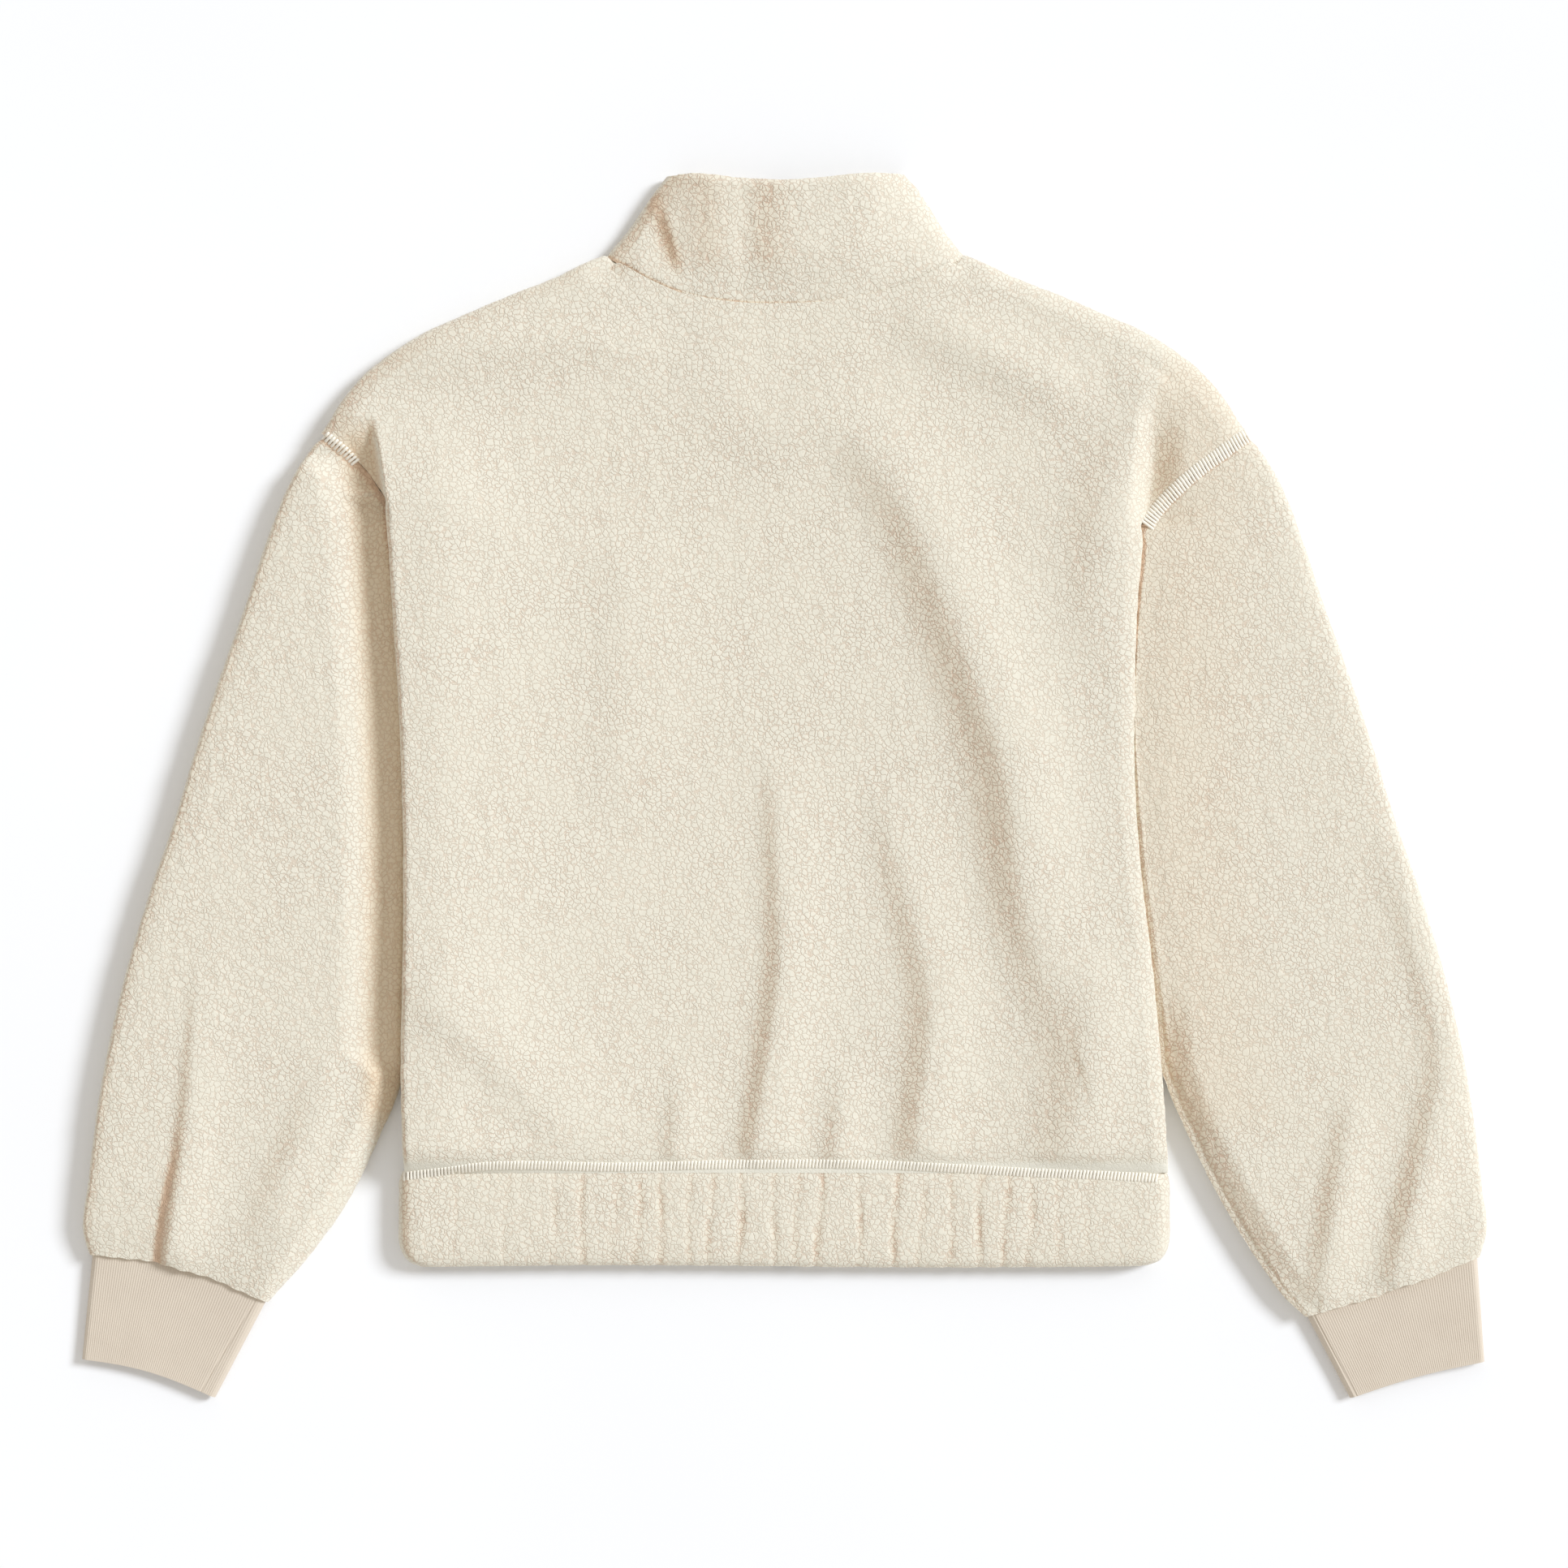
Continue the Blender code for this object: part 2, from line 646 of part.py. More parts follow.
def hem_band_rows(top_columns, gathered):
    """Outer points and layer depths of the hem band, from one front end round to the other."""
    rows = len(HEM_BAND_ROW)
    under = (CHANNEL_HALF, 60.0, 130.0, 200.0, 214.0)
    rise = ((5.0, 0.0), (0.9, 3.2), (0.0, 7.5), (2.2, 11.8), (6.5, 14.3))
    columns = 2 * (len(under) + len(rise)) + top_columns - 1
    points = np.zeros((rows, columns, 3))
    depth = np.zeros((rows, columns))
    for row, (down, inset, lost, kept) in enumerate(HEM_BAND_ROW):
        path = []
        for x in under:
            path.append((-x, 0.0, x > 210))
        for set_in, z in rise:
            path.append((-(HEM_BAND_SIDE[LEFT] - set_in), z, True))
        left, right = -(HEM_BAND_SIDE[LEFT] - 14.0), HEM_BAND_SIDE[RIGHT] - 14.0
        for step in range(top_columns - 1):
            path.append((left + (right - left) * step / (top_columns - 2), HEM_BAND_HEIGHT, False))
        for set_in, z in reversed(rise):
            path.append((HEM_BAND_SIDE[RIGHT] - set_in, z, True))
        for x in reversed(under):
            path.append((x, 0.0, x > 210))
        for column, (x, z, at_side) in enumerate(path):
            y = HEM_SEAM_Y - SEAM_GAP + down * (1 + HEM_WAVE * math.sin(x / HEM_WAVE_LENGTH))
            if at_side:
                x = x - math.copysign(inset, x)
            squash = (HEM_BAND_HEIGHT - lost) / HEM_BAND_HEIGHT
            z = z * squash
            if at_side:
                kept_here = min(kept, 0.55 if down > -48 else 0.3)
            else:
                kept_here = kept
            if gathered and z > 0.6 * HEM_BAND_HEIGHT:
                z = z - hem_gather(x, down)
            points[row, column] = (x, y, z)
            depth[row, column] = HEM_BAND_LAYER * kept_here
    return points, depth


def hem_gather(x, down):
    """Depth of the gathers at a place across the band."""
    held = math.sin(math.pi * min(max(-down / 56.0, 0.0), 1.0)) * 0.5 + 0.5
    depth = 0.0
    for centre, trough in GATHERS:
        depth += trough * math.exp(-((x - centre - down * 0.04) / GATHER_WIDTH) ** 2)
    return depth * held


def collar_rows(rows, top_columns):
    """Outer points of the collar, from one front end round the back to the other."""
    under = FRONT_NODES[:4]
    rise = ((6.0, 0.0), (0.8, 3.0), (0.0, 6.5), (2.4, 10.3))
    columns = 2 * (len(under) + len(rise)) + top_columns + 1
    points = np.zeros((rows + 1, columns, 3))
    for row in range(rows + 1):
        up = row / rows
        y_fold = 306.2 + up * (352.5 - 306.2)
        halves = {side: float(spline(y_fold, COLLAR_SIDE, side_column(side)))
                  for side in (LEFT, RIGHT)}
        path = []
        for side in (LEFT, RIGHT):
            half = halves[side]
            part = [(x * half / 104.0, 0.0) for x in under]
            part[0] = (CHANNEL_HALF, 0.0)
            for set_in, z in rise:
                part.append((half - set_in, z))
            flat = []
            for x, z in part:
                at_seam = x * 104.0 / half
                low = float(spline(at_seam, FRONT_NECKLINE)) + collar_gap(at_seam)
                high = COLLAR_FRONT_TOP_Y + (y_top_of_fold(side) - COLLAR_FRONT_TOP_Y) \
                    * float(ease(x / half))
                if z > 8:
                    low = float(spline(side * at_seam, NECKLINE)) + collar_gap(at_seam)
                flat.append((side * x, low + up * (high - low), z))
            path.append(flat)
        left_x, right_x = -(halves[LEFT] - 7.0), halves[RIGHT] - 7.0
        top = []
        for step in range(top_columns + 1):
            x = left_x + (right_x - left_x) * step / top_columns
            side = LEFT if x < 0 else RIGHT
            at_seam = x * 104.0 / halves[side]
            low = float(spline(at_seam, NECKLINE)) + collar_gap(at_seam)
            high = float(spline(x * 69.0 / halves[side], COLLAR_TOP))
            y = low + up * (high - low)
            top.append((x, y, float(collar_height(x, y, up))))
        line = path[0] + top + path[1][::-1]
        points[row] = line
    return points


def collar_gap(x):
    """Clearance of the collar from the back, a little more where both turn down at the fold."""
    return SEAM_GAP + 0.6 * float(ease((abs(x) - 80) / 15))


def y_top_of_fold(side):
    """y of the collar's folded edge at its top."""
    return COLLAR_TOP[0][1] if side == LEFT else COLLAR_TOP[-1][1]


def collar_height(x, y, up):
    """Height of the collar's upper surface."""
    shape = spline(x + 4.0 * (1 - up), COLLAR_HEIGHT)
    at_seam = back_height(x, y)
    return at_seam + (shape - at_seam) * ease(up / 0.45)


def sleeve_end(side, along):
    """Plan point of the sleeve's end; along from its outer to its inner end."""
    outer_y, inner_y = SLEEVE_RING[side][-1][1:3]
    outer_x = float(spline(outer_y, SLEEVE_OUTER))
    inner_x = float(inner_limit(inner_y, side))
    x = outer_x + along * (inner_x - outer_x)
    y = outer_y + along * (inner_y - outer_y) + CUFF_SEAM_BOW[side] * math.sin(math.pi * along)
    return np.array((side * x, y))


def cuff_point(side, along, down):
    """Plan point of a cuff; along from its outer to its inner edge, down from seam to opening."""
    outer, inner = (np.array(corner) for corner in CUFF_OPENING[side])
    start = sleeve_end(side, 0.015 + 0.97 * along) - np.array((0.0, 2 * SEAM_GAP))
    end = outer + along * (inner - outer)
    end = end + np.array((0.0, CUFF_EDGE_BOW[side] * math.sin(math.pi * along)))
    return start + down * (end - start)


def cuff_grids(side, ribs):
    """Outer and inner points of a cuff and the places of their columns round the wrist."""
    steps = 2 * ribs
    top = [0.02 + 0.96 * step / steps for step in range(steps + 1)]
    plain = [0.04, 0.2, 0.4, 0.6, 0.8, 0.96]
    under = [0.985, 0.8, 0.6, 0.4, 0.2, 0.015]
    outer = np.zeros((len(CUFF_ROWS), len(top) + len(under) + 2, 3))
    inner = np.zeros((len(CUFF_ROWS) // 2 + 1, 2 * len(plain), 3))
    for row, down in enumerate(CUFF_ROWS):
        height = CUFF_HEIGHT + CUFF_SWELL * (1 - down) ** 2
        line = [(*cuff_point(side, 0.0, down), 0.5 * CUFF_HEIGHT)]
        for step, along in enumerate(top):
            rib = 0.0
            if 0 < down < 1:
                rib = RIB_DEPTH * (1 if step % 2 else -1)
            turned = 1.4 * math.exp(-(min(along, 1 - along) - 0.02) / 0.02)
            line.append((*cuff_point(side, along, down), height + rib - turned))
        line.append((*cuff_point(side, 1.0, down), 0.5 * CUFF_HEIGHT))
        line += [(*cuff_point(side, along, down), 0.0) for along in under]
        outer[row] = line
        if row % 2 == 0:
            upper = [(*cuff_point(side, along, down), height - CUFF_LAYER) for along in plain]
            lower = [(*cuff_point(side, along, down), CUFF_LAYER) for along in plain[::-1]]
            inner[row // 2] = upper + lower
    outer_places = [0.0] + [along / 2 for along in top] + [0.5]
    outer_places += [1 - along / 2 for along in under] + [1.0]
    inner_places = [along / 2 for along in plain] + [1 - along / 2 for along in plain[::-1]]
    inner_places += [1.0 + plain[0] / 2]
    return outer, inner, (outer_places, inner_places)


def grid_normals(points, closed):
    """Unit normals of a grid of points; closed joins its last column to its first."""
    if closed:
        wrapped = np.concatenate((points[:, -1:], points, points[:, :1]), axis=1)
        across = (wrapped[:, 2:] - wrapped[:, :-2])
    else:
        across = np.gradient(points, axis=1)
    along = np.gradient(points, axis=0)
    normal = np.cross(across, along)
    return normal / np.maximum(np.linalg.norm(normal, axis=2, keepdims=True), 1e-9)


def set_in(points, depth, closed, step):
    """Inner grid: every step-th point, moved in by the cloth's thickness."""
    normal = grid_normals(points, closed)
    highest = np.unravel_index(np.argmax(points[..., 2]), points.shape[:2])
    normal = normal * math.copysign(1.0, normal[highest][2])
    depth = np.broadcast_to(np.asarray(depth, float), points.shape[:2])[..., None]
    inner = points - normal * depth
    return inner[::step[0], ::step[1]]


def grid_faces(mesh, points, closed):
    """Add a grid of points with its quads and return its vertices."""
    verts = [[mesh.verts.new(tuple(point * MM)) for point in row] for row in points]
    columns = len(verts[0])
    for low, high in zip(verts, verts[1:]):
        for column in range(columns if closed else columns - 1):
            after = (column + 1) % columns
            mesh.faces.new((low[column], low[after], high[after], high[column]))
    return verts


def stitch(mesh, first, second, closed, places=None):
    """Fill between two lines of vertices, in the order of their places from 0 to 1."""
    first = first + [first[0]] if closed else first
    second = second + [second[0]] if closed else second
    if places is None:
        places = (np.linspace(0, 1, len(first)), np.linspace(0, 1, len(second)))
    a, b = 0, 0
    while a < len(first) - 1 or b < len(second) - 1:
        if b == len(second) - 1 or (a < len(first) - 1
                                    and places[0][a + 1] <= places[1][b + 1] + 1e-9):
            mesh.faces.new((first[a], first[a + 1], second[b]))
            a += 1
        else:
            mesh.faces.new((first[a], second[b + 1], second[b]))
            b += 1


def cloth_wall(name, outer, inner, closed, material, places=None):
    """One closed wall from an outer and an inner grid; places match their columns at the rims."""
    mesh = bmesh.new()
    shell = grid_faces(mesh, outer, closed)
    lining = grid_faces(mesh, inner, closed)
    stitch(mesh, shell[0], lining[0], closed, places)
    stitch(mesh, shell[-1], lining[-1], closed, places)
    if not closed:
        stitch(mesh, [row[0] for row in shell], [row[0] for row in lining], False)
        stitch(mesh, [row[-1] for row in shell], [row[-1] for row in lining], False)
    return finish_object(name, mesh, material)


def finish_object(name, mesh, material):
    """Turn a bmesh into a named object with outward faces and its material."""
    bmesh.ops.recalc_face_normals(mesh, faces=mesh.faces)
    data = bpy.data.meshes.new(name)
    mesh.to_mesh(data)
    mesh.free()
    data.transform(shift_to_centre())
    data.materials.append(material)
    data.shade_smooth()
    data.set_sharp_from_angle(angle=math.radians(50))
    made = bpy.data.objects.new(name, data)
    bpy.context.scene.collection.objects.link(made)
    return made


def shift_to_centre():
    """Move from the plan's axes to the jacket's centre."""
    return Matrix.Translation((-CENTRE_X * MM, -CENTRE_Y * MM, 0.0))


def make_material(name, colour, roughness, metallic=0.0):
    """Principled material with a plain colour."""
    material = bpy.data.materials.new(name)
    material.use_nodes = True
    shader = material.node_tree.nodes["Principled BSDF"]
    shader.inputs["Base Color"].default_value = colour
    shader.inputs["Roughness"].default_value = roughness
    shader.inputs["Metallic"].default_value = metallic
    return material


def extruded(mesh, outline, along):
    """Extrude a flat outline of 3-D points by a vector."""
    base = [mesh.verts.new([MM * value for value in point]) for point in outline]
    grown = bmesh.ops.extrude_face_region(mesh, geom=[mesh.faces.new(base)])
    moved = [part for part in grown["geom"] if isinstance(part, bmesh.types.BMVert)]
    bmesh.ops.translate(mesh, verts=moved, vec=[MM * value for value in along])


def joined(body, other):
    """Union a second piece of the same metal into a body."""
    union = body.modifiers.new("union", "BOOLEAN")
    union.operation = "UNION"
    union.solver = "EXACT"
    union.object = other
    other.hide_render = True
    other.display_type = "WIRE"


def clear_scene():
    """Remove whatever the scene holds."""
    for existing in list(bpy.data.objects):
        bpy.data.objects.remove(existing, do_unlink=True)


def build_body(fleece):
    """Back panel and the two fronts."""
    outer = back_rows(*BACK_GRID)
    cloth_wall("back_panel", outer, back_inner(outer), False, fleece)
    for name, side in (("front_left", LEFT), ("front_right", RIGHT)):
        upper = front_rows(side)
        lower = upper.copy()
        lower[..., 2] = 0.0
        cloth_wall(name, upper, lower, False, fleece)


def build_sleeves(fleece):
    """Two sleeves, each a flattened tube."""
    for name, side in (("sleeve_left", LEFT), ("sleeve_right", RIGHT)):
        outer = sleeve_rings(side, *SLEEVE_GRID)
        inner = set_in(outer, sleeve_depth(SLEEVE_GRID[0]), True, (2, 1))
        cloth_wall(name, outer, inner, True, fleece)


def build_collar(fleece):
    """Collar, a tube with its side edges folded flat."""
    outer = collar_rows(*COLLAR_GRID)
    depth = np.full(outer.shape[:2], FLEECE)
    depth[:, 3:8] = FLEECE_AT_FOLD
    depth[:, -8:-3] = FLEECE_AT_FOLD
    cloth_wall("collar", outer, set_in(outer, depth, False, (2, 1)), False, fleece)


def build_hem_band(fleece):
    """Hem band, gathered on its outside over a plain inside."""
    outer, depth = hem_band_rows(HEM_BAND_COLUMNS, True)
    plain, depth = hem_band_rows(HEM_BAND_COLUMNS, False)
    cloth_wall("hem_band", outer, set_in(plain, depth, False, (2, 2)), False, fleece)


def build_cuffs(rib):
    """Two cuffs of rib knit."""
    for name, side in (("cuff_left", LEFT), ("cuff_right", RIGHT)):
        outer, inner, places = cuff_grids(side, CUFF_RIBS)
        cloth_wall(name, outer, inner, True, rib, places)


def build_chain(tape):
    """Closed zip chain on its tape, narrower where it runs inside the hem band."""
    mesh = bmesh.new()
    sections = []
    for y, half in ((ZIP_TOP_Y, TAPE_HALF), (HEM_SEAM_Y + 2 * SEAM_GAP, TAPE_HALF),
                    (HEM_SEAM_Y, TAPE_IN_BAND_HALF), (ZIP_BOTTOM_Y, TAPE_IN_BAND_HALF)):
        outline = ((-half, TAPE_BOTTOM), (-CHAIN_HALF, TAPE_BOTTOM), (-CHAIN_HALF, CHAIN_BOTTOM),
                   (CHAIN_HALF, CHAIN_BOTTOM), (CHAIN_HALF, TAPE_BOTTOM), (half, TAPE_BOTTOM),
                   (half, TAPE_TOP), (-half, TAPE_TOP))
        sections.append([(x, y, z) for x, z in outline])
    verts = grid_faces(mesh, np.array(sections), True)
    mesh.faces.new(verts[0])
    mesh.faces.new(verts[-1])
    finish_object("zip_chain", mesh, tape)


def build_slider(metal):
    """Slider plate with its bail below."""
    half_x, half_y = SLIDER_HALF
    low, high = SLIDER_PLATE
    plate = bmesh.new()
    corners = ((-half_x, -half_y), (half_x, -half_y), (half_x, half_y), (-half_x, half_y))
    extruded(plate, [(x, SLIDER_Y + y, low) for x, y in corners], (0, 0, high - low))
    body = finish_object("zip_slider", plate, metal)
    bar_low, bar_high = BAIL
    foot = low + BAIL_SUNK
    outer, inner = BAIL_HALF_LENGTH, BAIL_HALF_LENGTH - BAIL_LEG
    profile = ((-outer, foot), (-outer, bar_low + BAIL_CORNER), (-outer + BAIL_CORNER, bar_low),
               (outer - BAIL_CORNER, bar_low), (outer, bar_low + BAIL_CORNER), (outer, foot),
               (inner, foot), (inner, bar_high), (-inner, bar_high), (-inner, foot))
    bail = bmesh.new()
    extruded(bail, [(-BAIL_HALF_WIDTH, SLIDER_Y + y, z) for y, z in profile],
             (2 * BAIL_HALF_WIDTH, 0, 0))
    joined(body, finish_object("zip_bail", bail, metal))


def build_pull(metal):
    """Pull with a round pin under the bail, modelled lying towards the hem."""
    pin = bmesh.new()
    pin_half = PULL_HALF - PIN_INSET
    turns = [2 * math.pi * (step + 0.5) / PIN_SIDES for step in range(PIN_SIDES)]
    extruded(pin, [(-pin_half, PIN_RADIUS * math.cos(turn), PIN_RADIUS * math.sin(turn))
                   for turn in turns], (2 * pin_half, 0, 0))
    inner = PULL_HALF - PULL_ARM
    outline = ((-PULL_HALF, PULL_HEAD), (-inner, PULL_HEAD), (-inner, -PULL_SLOT),
               (inner, -PULL_SLOT), (inner, PULL_HEAD), (PULL_HALF, PULL_HEAD),
               (PULL_HALF, PULL_CORNER - PULL_LENGTH), (PULL_HALF - PULL_CORNER, -PULL_LENGTH),
               (PULL_CORNER - PULL_HALF, -PULL_LENGTH), (-PULL_HALF, PULL_CORNER - PULL_LENGTH))
    tab = bmesh.new()
    extruded(tab, [(x, y, -PULL_THICKNESS / 2) for x, y in outline], (0, 0, PULL_THICKNESS))
    pull = on_hinge("zip_pull", tab, metal)
    joined(pull, on_hinge("zip_pin", pin, metal))


def on_hinge(name, mesh, metal):
    """Object of the pull, with its origin on the hinge's axis."""
    made = finish_object(name, mesh, metal)
    made.data.transform(shift_to_centre().inverted())
    made.location = (-CENTRE_X * MM, (SLIDER_Y - CENTRE_Y) * MM, PIN_Z * MM)
    return made


def main():
    """Build the jacket."""
    clear_scene()
    fleece = make_material("fleece", FLEECE_COLOUR, 0.95)
    rib = make_material("rib_knit", RIB_COLOUR, 0.9)
    tape = make_material("zip_tape", TAPE_COLOUR, 0.8)
    metal = make_material("zip_metal", METAL_COLOUR, 0.35, 1.0)
    build_body(fleece)
    build_sleeves(fleece)
    build_collar(fleece)
    build_hem_band(fleece)
    build_cuffs(rib)
    build_chain(tape)
    build_slider(metal)
    build_pull(metal)


main()
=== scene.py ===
"""Looks of a cream sherpa fleece jacket that lies flat with its back up."""
import math

import bpy
import numpy as np
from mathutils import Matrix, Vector, noise
from mathutils.bvhtree import BVHTree


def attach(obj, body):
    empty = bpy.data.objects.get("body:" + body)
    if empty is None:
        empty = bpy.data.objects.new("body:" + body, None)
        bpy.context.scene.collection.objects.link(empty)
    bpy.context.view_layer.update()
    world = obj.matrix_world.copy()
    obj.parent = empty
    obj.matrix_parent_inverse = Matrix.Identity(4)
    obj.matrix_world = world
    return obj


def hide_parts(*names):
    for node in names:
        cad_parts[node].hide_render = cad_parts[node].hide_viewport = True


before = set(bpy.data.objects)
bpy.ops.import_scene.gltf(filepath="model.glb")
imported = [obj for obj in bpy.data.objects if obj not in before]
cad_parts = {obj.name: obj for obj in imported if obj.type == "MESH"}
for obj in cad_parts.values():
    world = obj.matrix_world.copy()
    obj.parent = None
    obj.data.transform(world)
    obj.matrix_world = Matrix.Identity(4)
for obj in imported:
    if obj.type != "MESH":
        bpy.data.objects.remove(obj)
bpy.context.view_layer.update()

# The back panel: curly pile on a knit, cut in one piece from the hem seam to the shoulders. It is
# sewn to the sleeves, the collar and the hem band, lies on the two fronts, and its side edges
# roll over onto the sleeves. Sizes are in millimetres.
MM = 0.001
LEFT, RIGHT = -1, 1
CENTRE = np.array((-0.55, -1.5, 0.0))
# thickness of the fleece, and where it is turned over at an edge
FLEECE, FOLDED = 4.0, 2.0
# height of the back's edges above the table
LOW = 4.3
HEM_SEAM_Y = -225.0
# half width of the neck's seam, and where the top edge starts to round over beside it
NECK_HALF, NECK_ROUND = 104.0, 94.0
# coarse cells of the back, across and up, and those that roll over at an edge
BACK_COLUMNS, BACK_ROWS, ROLL = 40, 34, 4.0
# y, left half width, right half width of the body's rolled side edges
BODY_SIDE = (
    (-225, 220, 222), (-166, 221.5, 218), (-110, 220.5, 213), (-45, 220, 205.5), (17, 221.5, 202),
    (50, 223, 202.3), (95, 226, 203.5), (140, 229, 207), (164, 231.5, 209), (187, 235, 211.5),
    (214, 239, 213), (246, 240, 218),
)
# y, distance from the centre line of the armhole seams where they show
ARMHOLE = {
    LEFT: ((164, 231.5), (174, 237), (184, 244.5), (194, 255.5), (203, 268.5)),
    RIGHT: ((149.5, 208), (157.5, 215), (169, 225.6), (180.5, 238), (191, 252.5), (203, 269)),
}
# distance from the centre line, y of the shoulder edge
SHOULDER = (
    (104, 307), (118, 301), (131, 294.6), (160, 283), (187, 271.5), (211, 260.5), (229, 249),
    (248, 233), (259, 219), (266.5, 206), (269, 202.5),
)
# distance from the centre line where the top edge leaves the rolled sides
TOP_FLAT = {LEFT: 237.4, RIGHT: 210.0}
TOP_REACH = {LEFT: 268.5, RIGHT: 269.0}
# beside the rolled sides the rows are level up to this y, which is this share of the way up
LEVEL_Y, LEVEL_PART = 184.0, 0.89
NECKLINE = (
    (-104, 307), (-78.5, 292), (-55, 282.5), (-31.5, 279), (0, 278), (39, 281), (67, 288.5),
    (86, 297), (104, 307),
)
# y, left and right distance from the centre line of the sleeves' free inner edge
SLEEVE_INNER = (
    (-309, 306, 302), (-301, 300, 293), (-281, 282, 277.5), (-247, 256.5, 256),
    (-205, 235.5, 234.5), (-172, 222.5, 220.5), (-160, 220.5, 217),
)
# how far that edge goes under the body's, its height, and how far the right one is pushed up
SLEEVE_TUCK = {LEFT: 0.8, RIGHT: 0.3}
LIP_HEIGHT, LIP_RISE = 10.5, 6.2
ARMHOLE_HEIGHT = 17.0
# beside the body's left side the sleeve lies flat this far out, and rises over this much more
VALLEY_FLAT, VALLEY_RISE = 11.0, 17
# x and height of the back's middle part; the yoke above it and the hem seam have one height each
BACK_HEIGHT = (
    (-222, 26), (-200, 26), (-170, 23), (-140, 20), (-100, 17.8), (0, 16), (100, 17),
    (160, 18.6), (190, 20.2), (210, 20.6),
)
YOKE_HEIGHT, HEM_SEAM_HEIGHT = 16.5, 14.4
# Rolled edges, by coarse cells in from the rim: how far inside the outline the cloth is, and its
# share of the full height. The body's left side edge stands up steeply over the sleeve.
ROLL_INSET = ((0, 5.5), (1, 2.0), (2, 0.0), (3, 3.2), (4, 10.5))
EDGE_INSET = {
    LEFT: ((0, 4.0), (1, 1.2), (2, 0.0), (3, 0.4), (4, 2.6)),
    RIGHT: ((0, 5.5), (1, 1.6), (2, 0.0), (3, 2.2), (4, 8.0)),
}
EDGE_SHARE = {
    LEFT: ((0, 0.0), (1, 0.2), (2, 0.55), (3, 0.9), (4, 1.0)),
    RIGHT: ((0, 0.0), (1, 0.3), (2, 0.76), (3, 0.91), (4, 1.0)),
}
ROLL_SHARE = ((0, 0.0), (1, 0.2), (2, 0.47), (3, 0.8), (4, 1.0))
SEAM_INSET = ((0, 0.0), (1, 2.0), (2, 4.5), (3, 7.5), (4, 12.0))
# Folds: x, y and height of points along a crest, its width to the left or below, and its width
# to the right or above.
BACK_FOLDS = (
    (((0, 232, 0), (26, 211, 2.5), (49, 194, 4), (75, 158, 5.5), (92, 117, 6.4), (112, 64, 7.2),
      (128, 17, 7.6), (135, -21, 7.6), (140, -63, 6.6), (149, -95, 5), (163, -140, 2.2)), 19, 32),
    (((-6, 25, 0), (-3, -20, 2.4), (-1, -100, 4), (-7, -152, 4.5), (-15, -204, 4.5),
      (-16, -215, 3)), 9, 24),
    (((58, 5, 0), (64, -30, 2), (76, -77, 3.2), (86, -130, 4), (79, -200, 4.4),
      (77, -215, 3)), 12, 24),
    (((182, -95, 0), (180, -133, 3), (170, -190, 4), (166, -214, 3)), 20, 22),
    (((-61, -160, 0), (-60, -185, 1.8), (-62, -214, 2.2)), 8, 13),
    (((35, -155, 0), (34, -180, 1.8), (31, -214, 3)), 9, 13),
    (((-216, -112, 1), (-205, -122, 2.4), (-172, -150, 3.4), (-130, -195, 2.4),
      (-122, -212, 0.5)), 16, 34),
    (((-88, 150, 0), (-90, 110, 1.8), (-93, 10, 1.5), (-92, -30, 0)), 18, 34),
    (((-228, 238, 0), (-190, 251, 2), (-110, 256, 2), (-70, 250, 0)), 14, 12),
    (((60, 262, 0), (95, 258, 3), (150, 232, 3), (190, 205, 0)), 16, 18),
    (((-60, 268, 0), (-40, 258, 0.8), (-28, 215, 1.2), (0, 200, 2), (30, 190, 0)), 24, 20),
    (((216, 240, 0), (210, 226, 3), (190, 170, 3), (182, 110, 1.8), (178, 60, 0)), 20, 16),
    (((-103, 308, -4), (-103, 300, -3), (-104, 288, 0)), 10, 10),
    (((103, 308, -4), (103, 300, -3), (104, 288, 0)), 10, 10),
)


def spline(key, table, column=1):
    """Smooth value of a table's column at a key, which is in the table's first column."""
    rows = sorted(table)
    keys = np.array([row[0] for row in rows], float)
    values = np.array([row[column] for row in rows], float)
    slopes = np.gradient(values, keys)
    key = np.clip(np.asarray(key, float), keys[0], keys[-1])
    cell = np.clip(np.searchsorted(keys, key) - 1, 0, len(keys) - 2)
    width = keys[cell + 1] - keys[cell]
    part = (key - keys[cell]) / width
    start = (1 + 2 * part) * (1 - part) ** 2 * values[cell]
    start_slope = part * (1 - part) ** 2 * width * slopes[cell]
    end = part ** 2 * (3 - 2 * part) * values[cell + 1]
    end_slope = part ** 2 * (part - 1) * width * slopes[cell + 1]
    return start + start_slope + end + end_slope


def ease(part):
    """Smooth step from 0 to 1."""
    part = np.clip(part, 0.0, 1.0)
    return part * part * (3 - 2 * part)


def side_column(side):
    """Column of a table that has left and right values."""
    return 1 if side == LEFT else 2


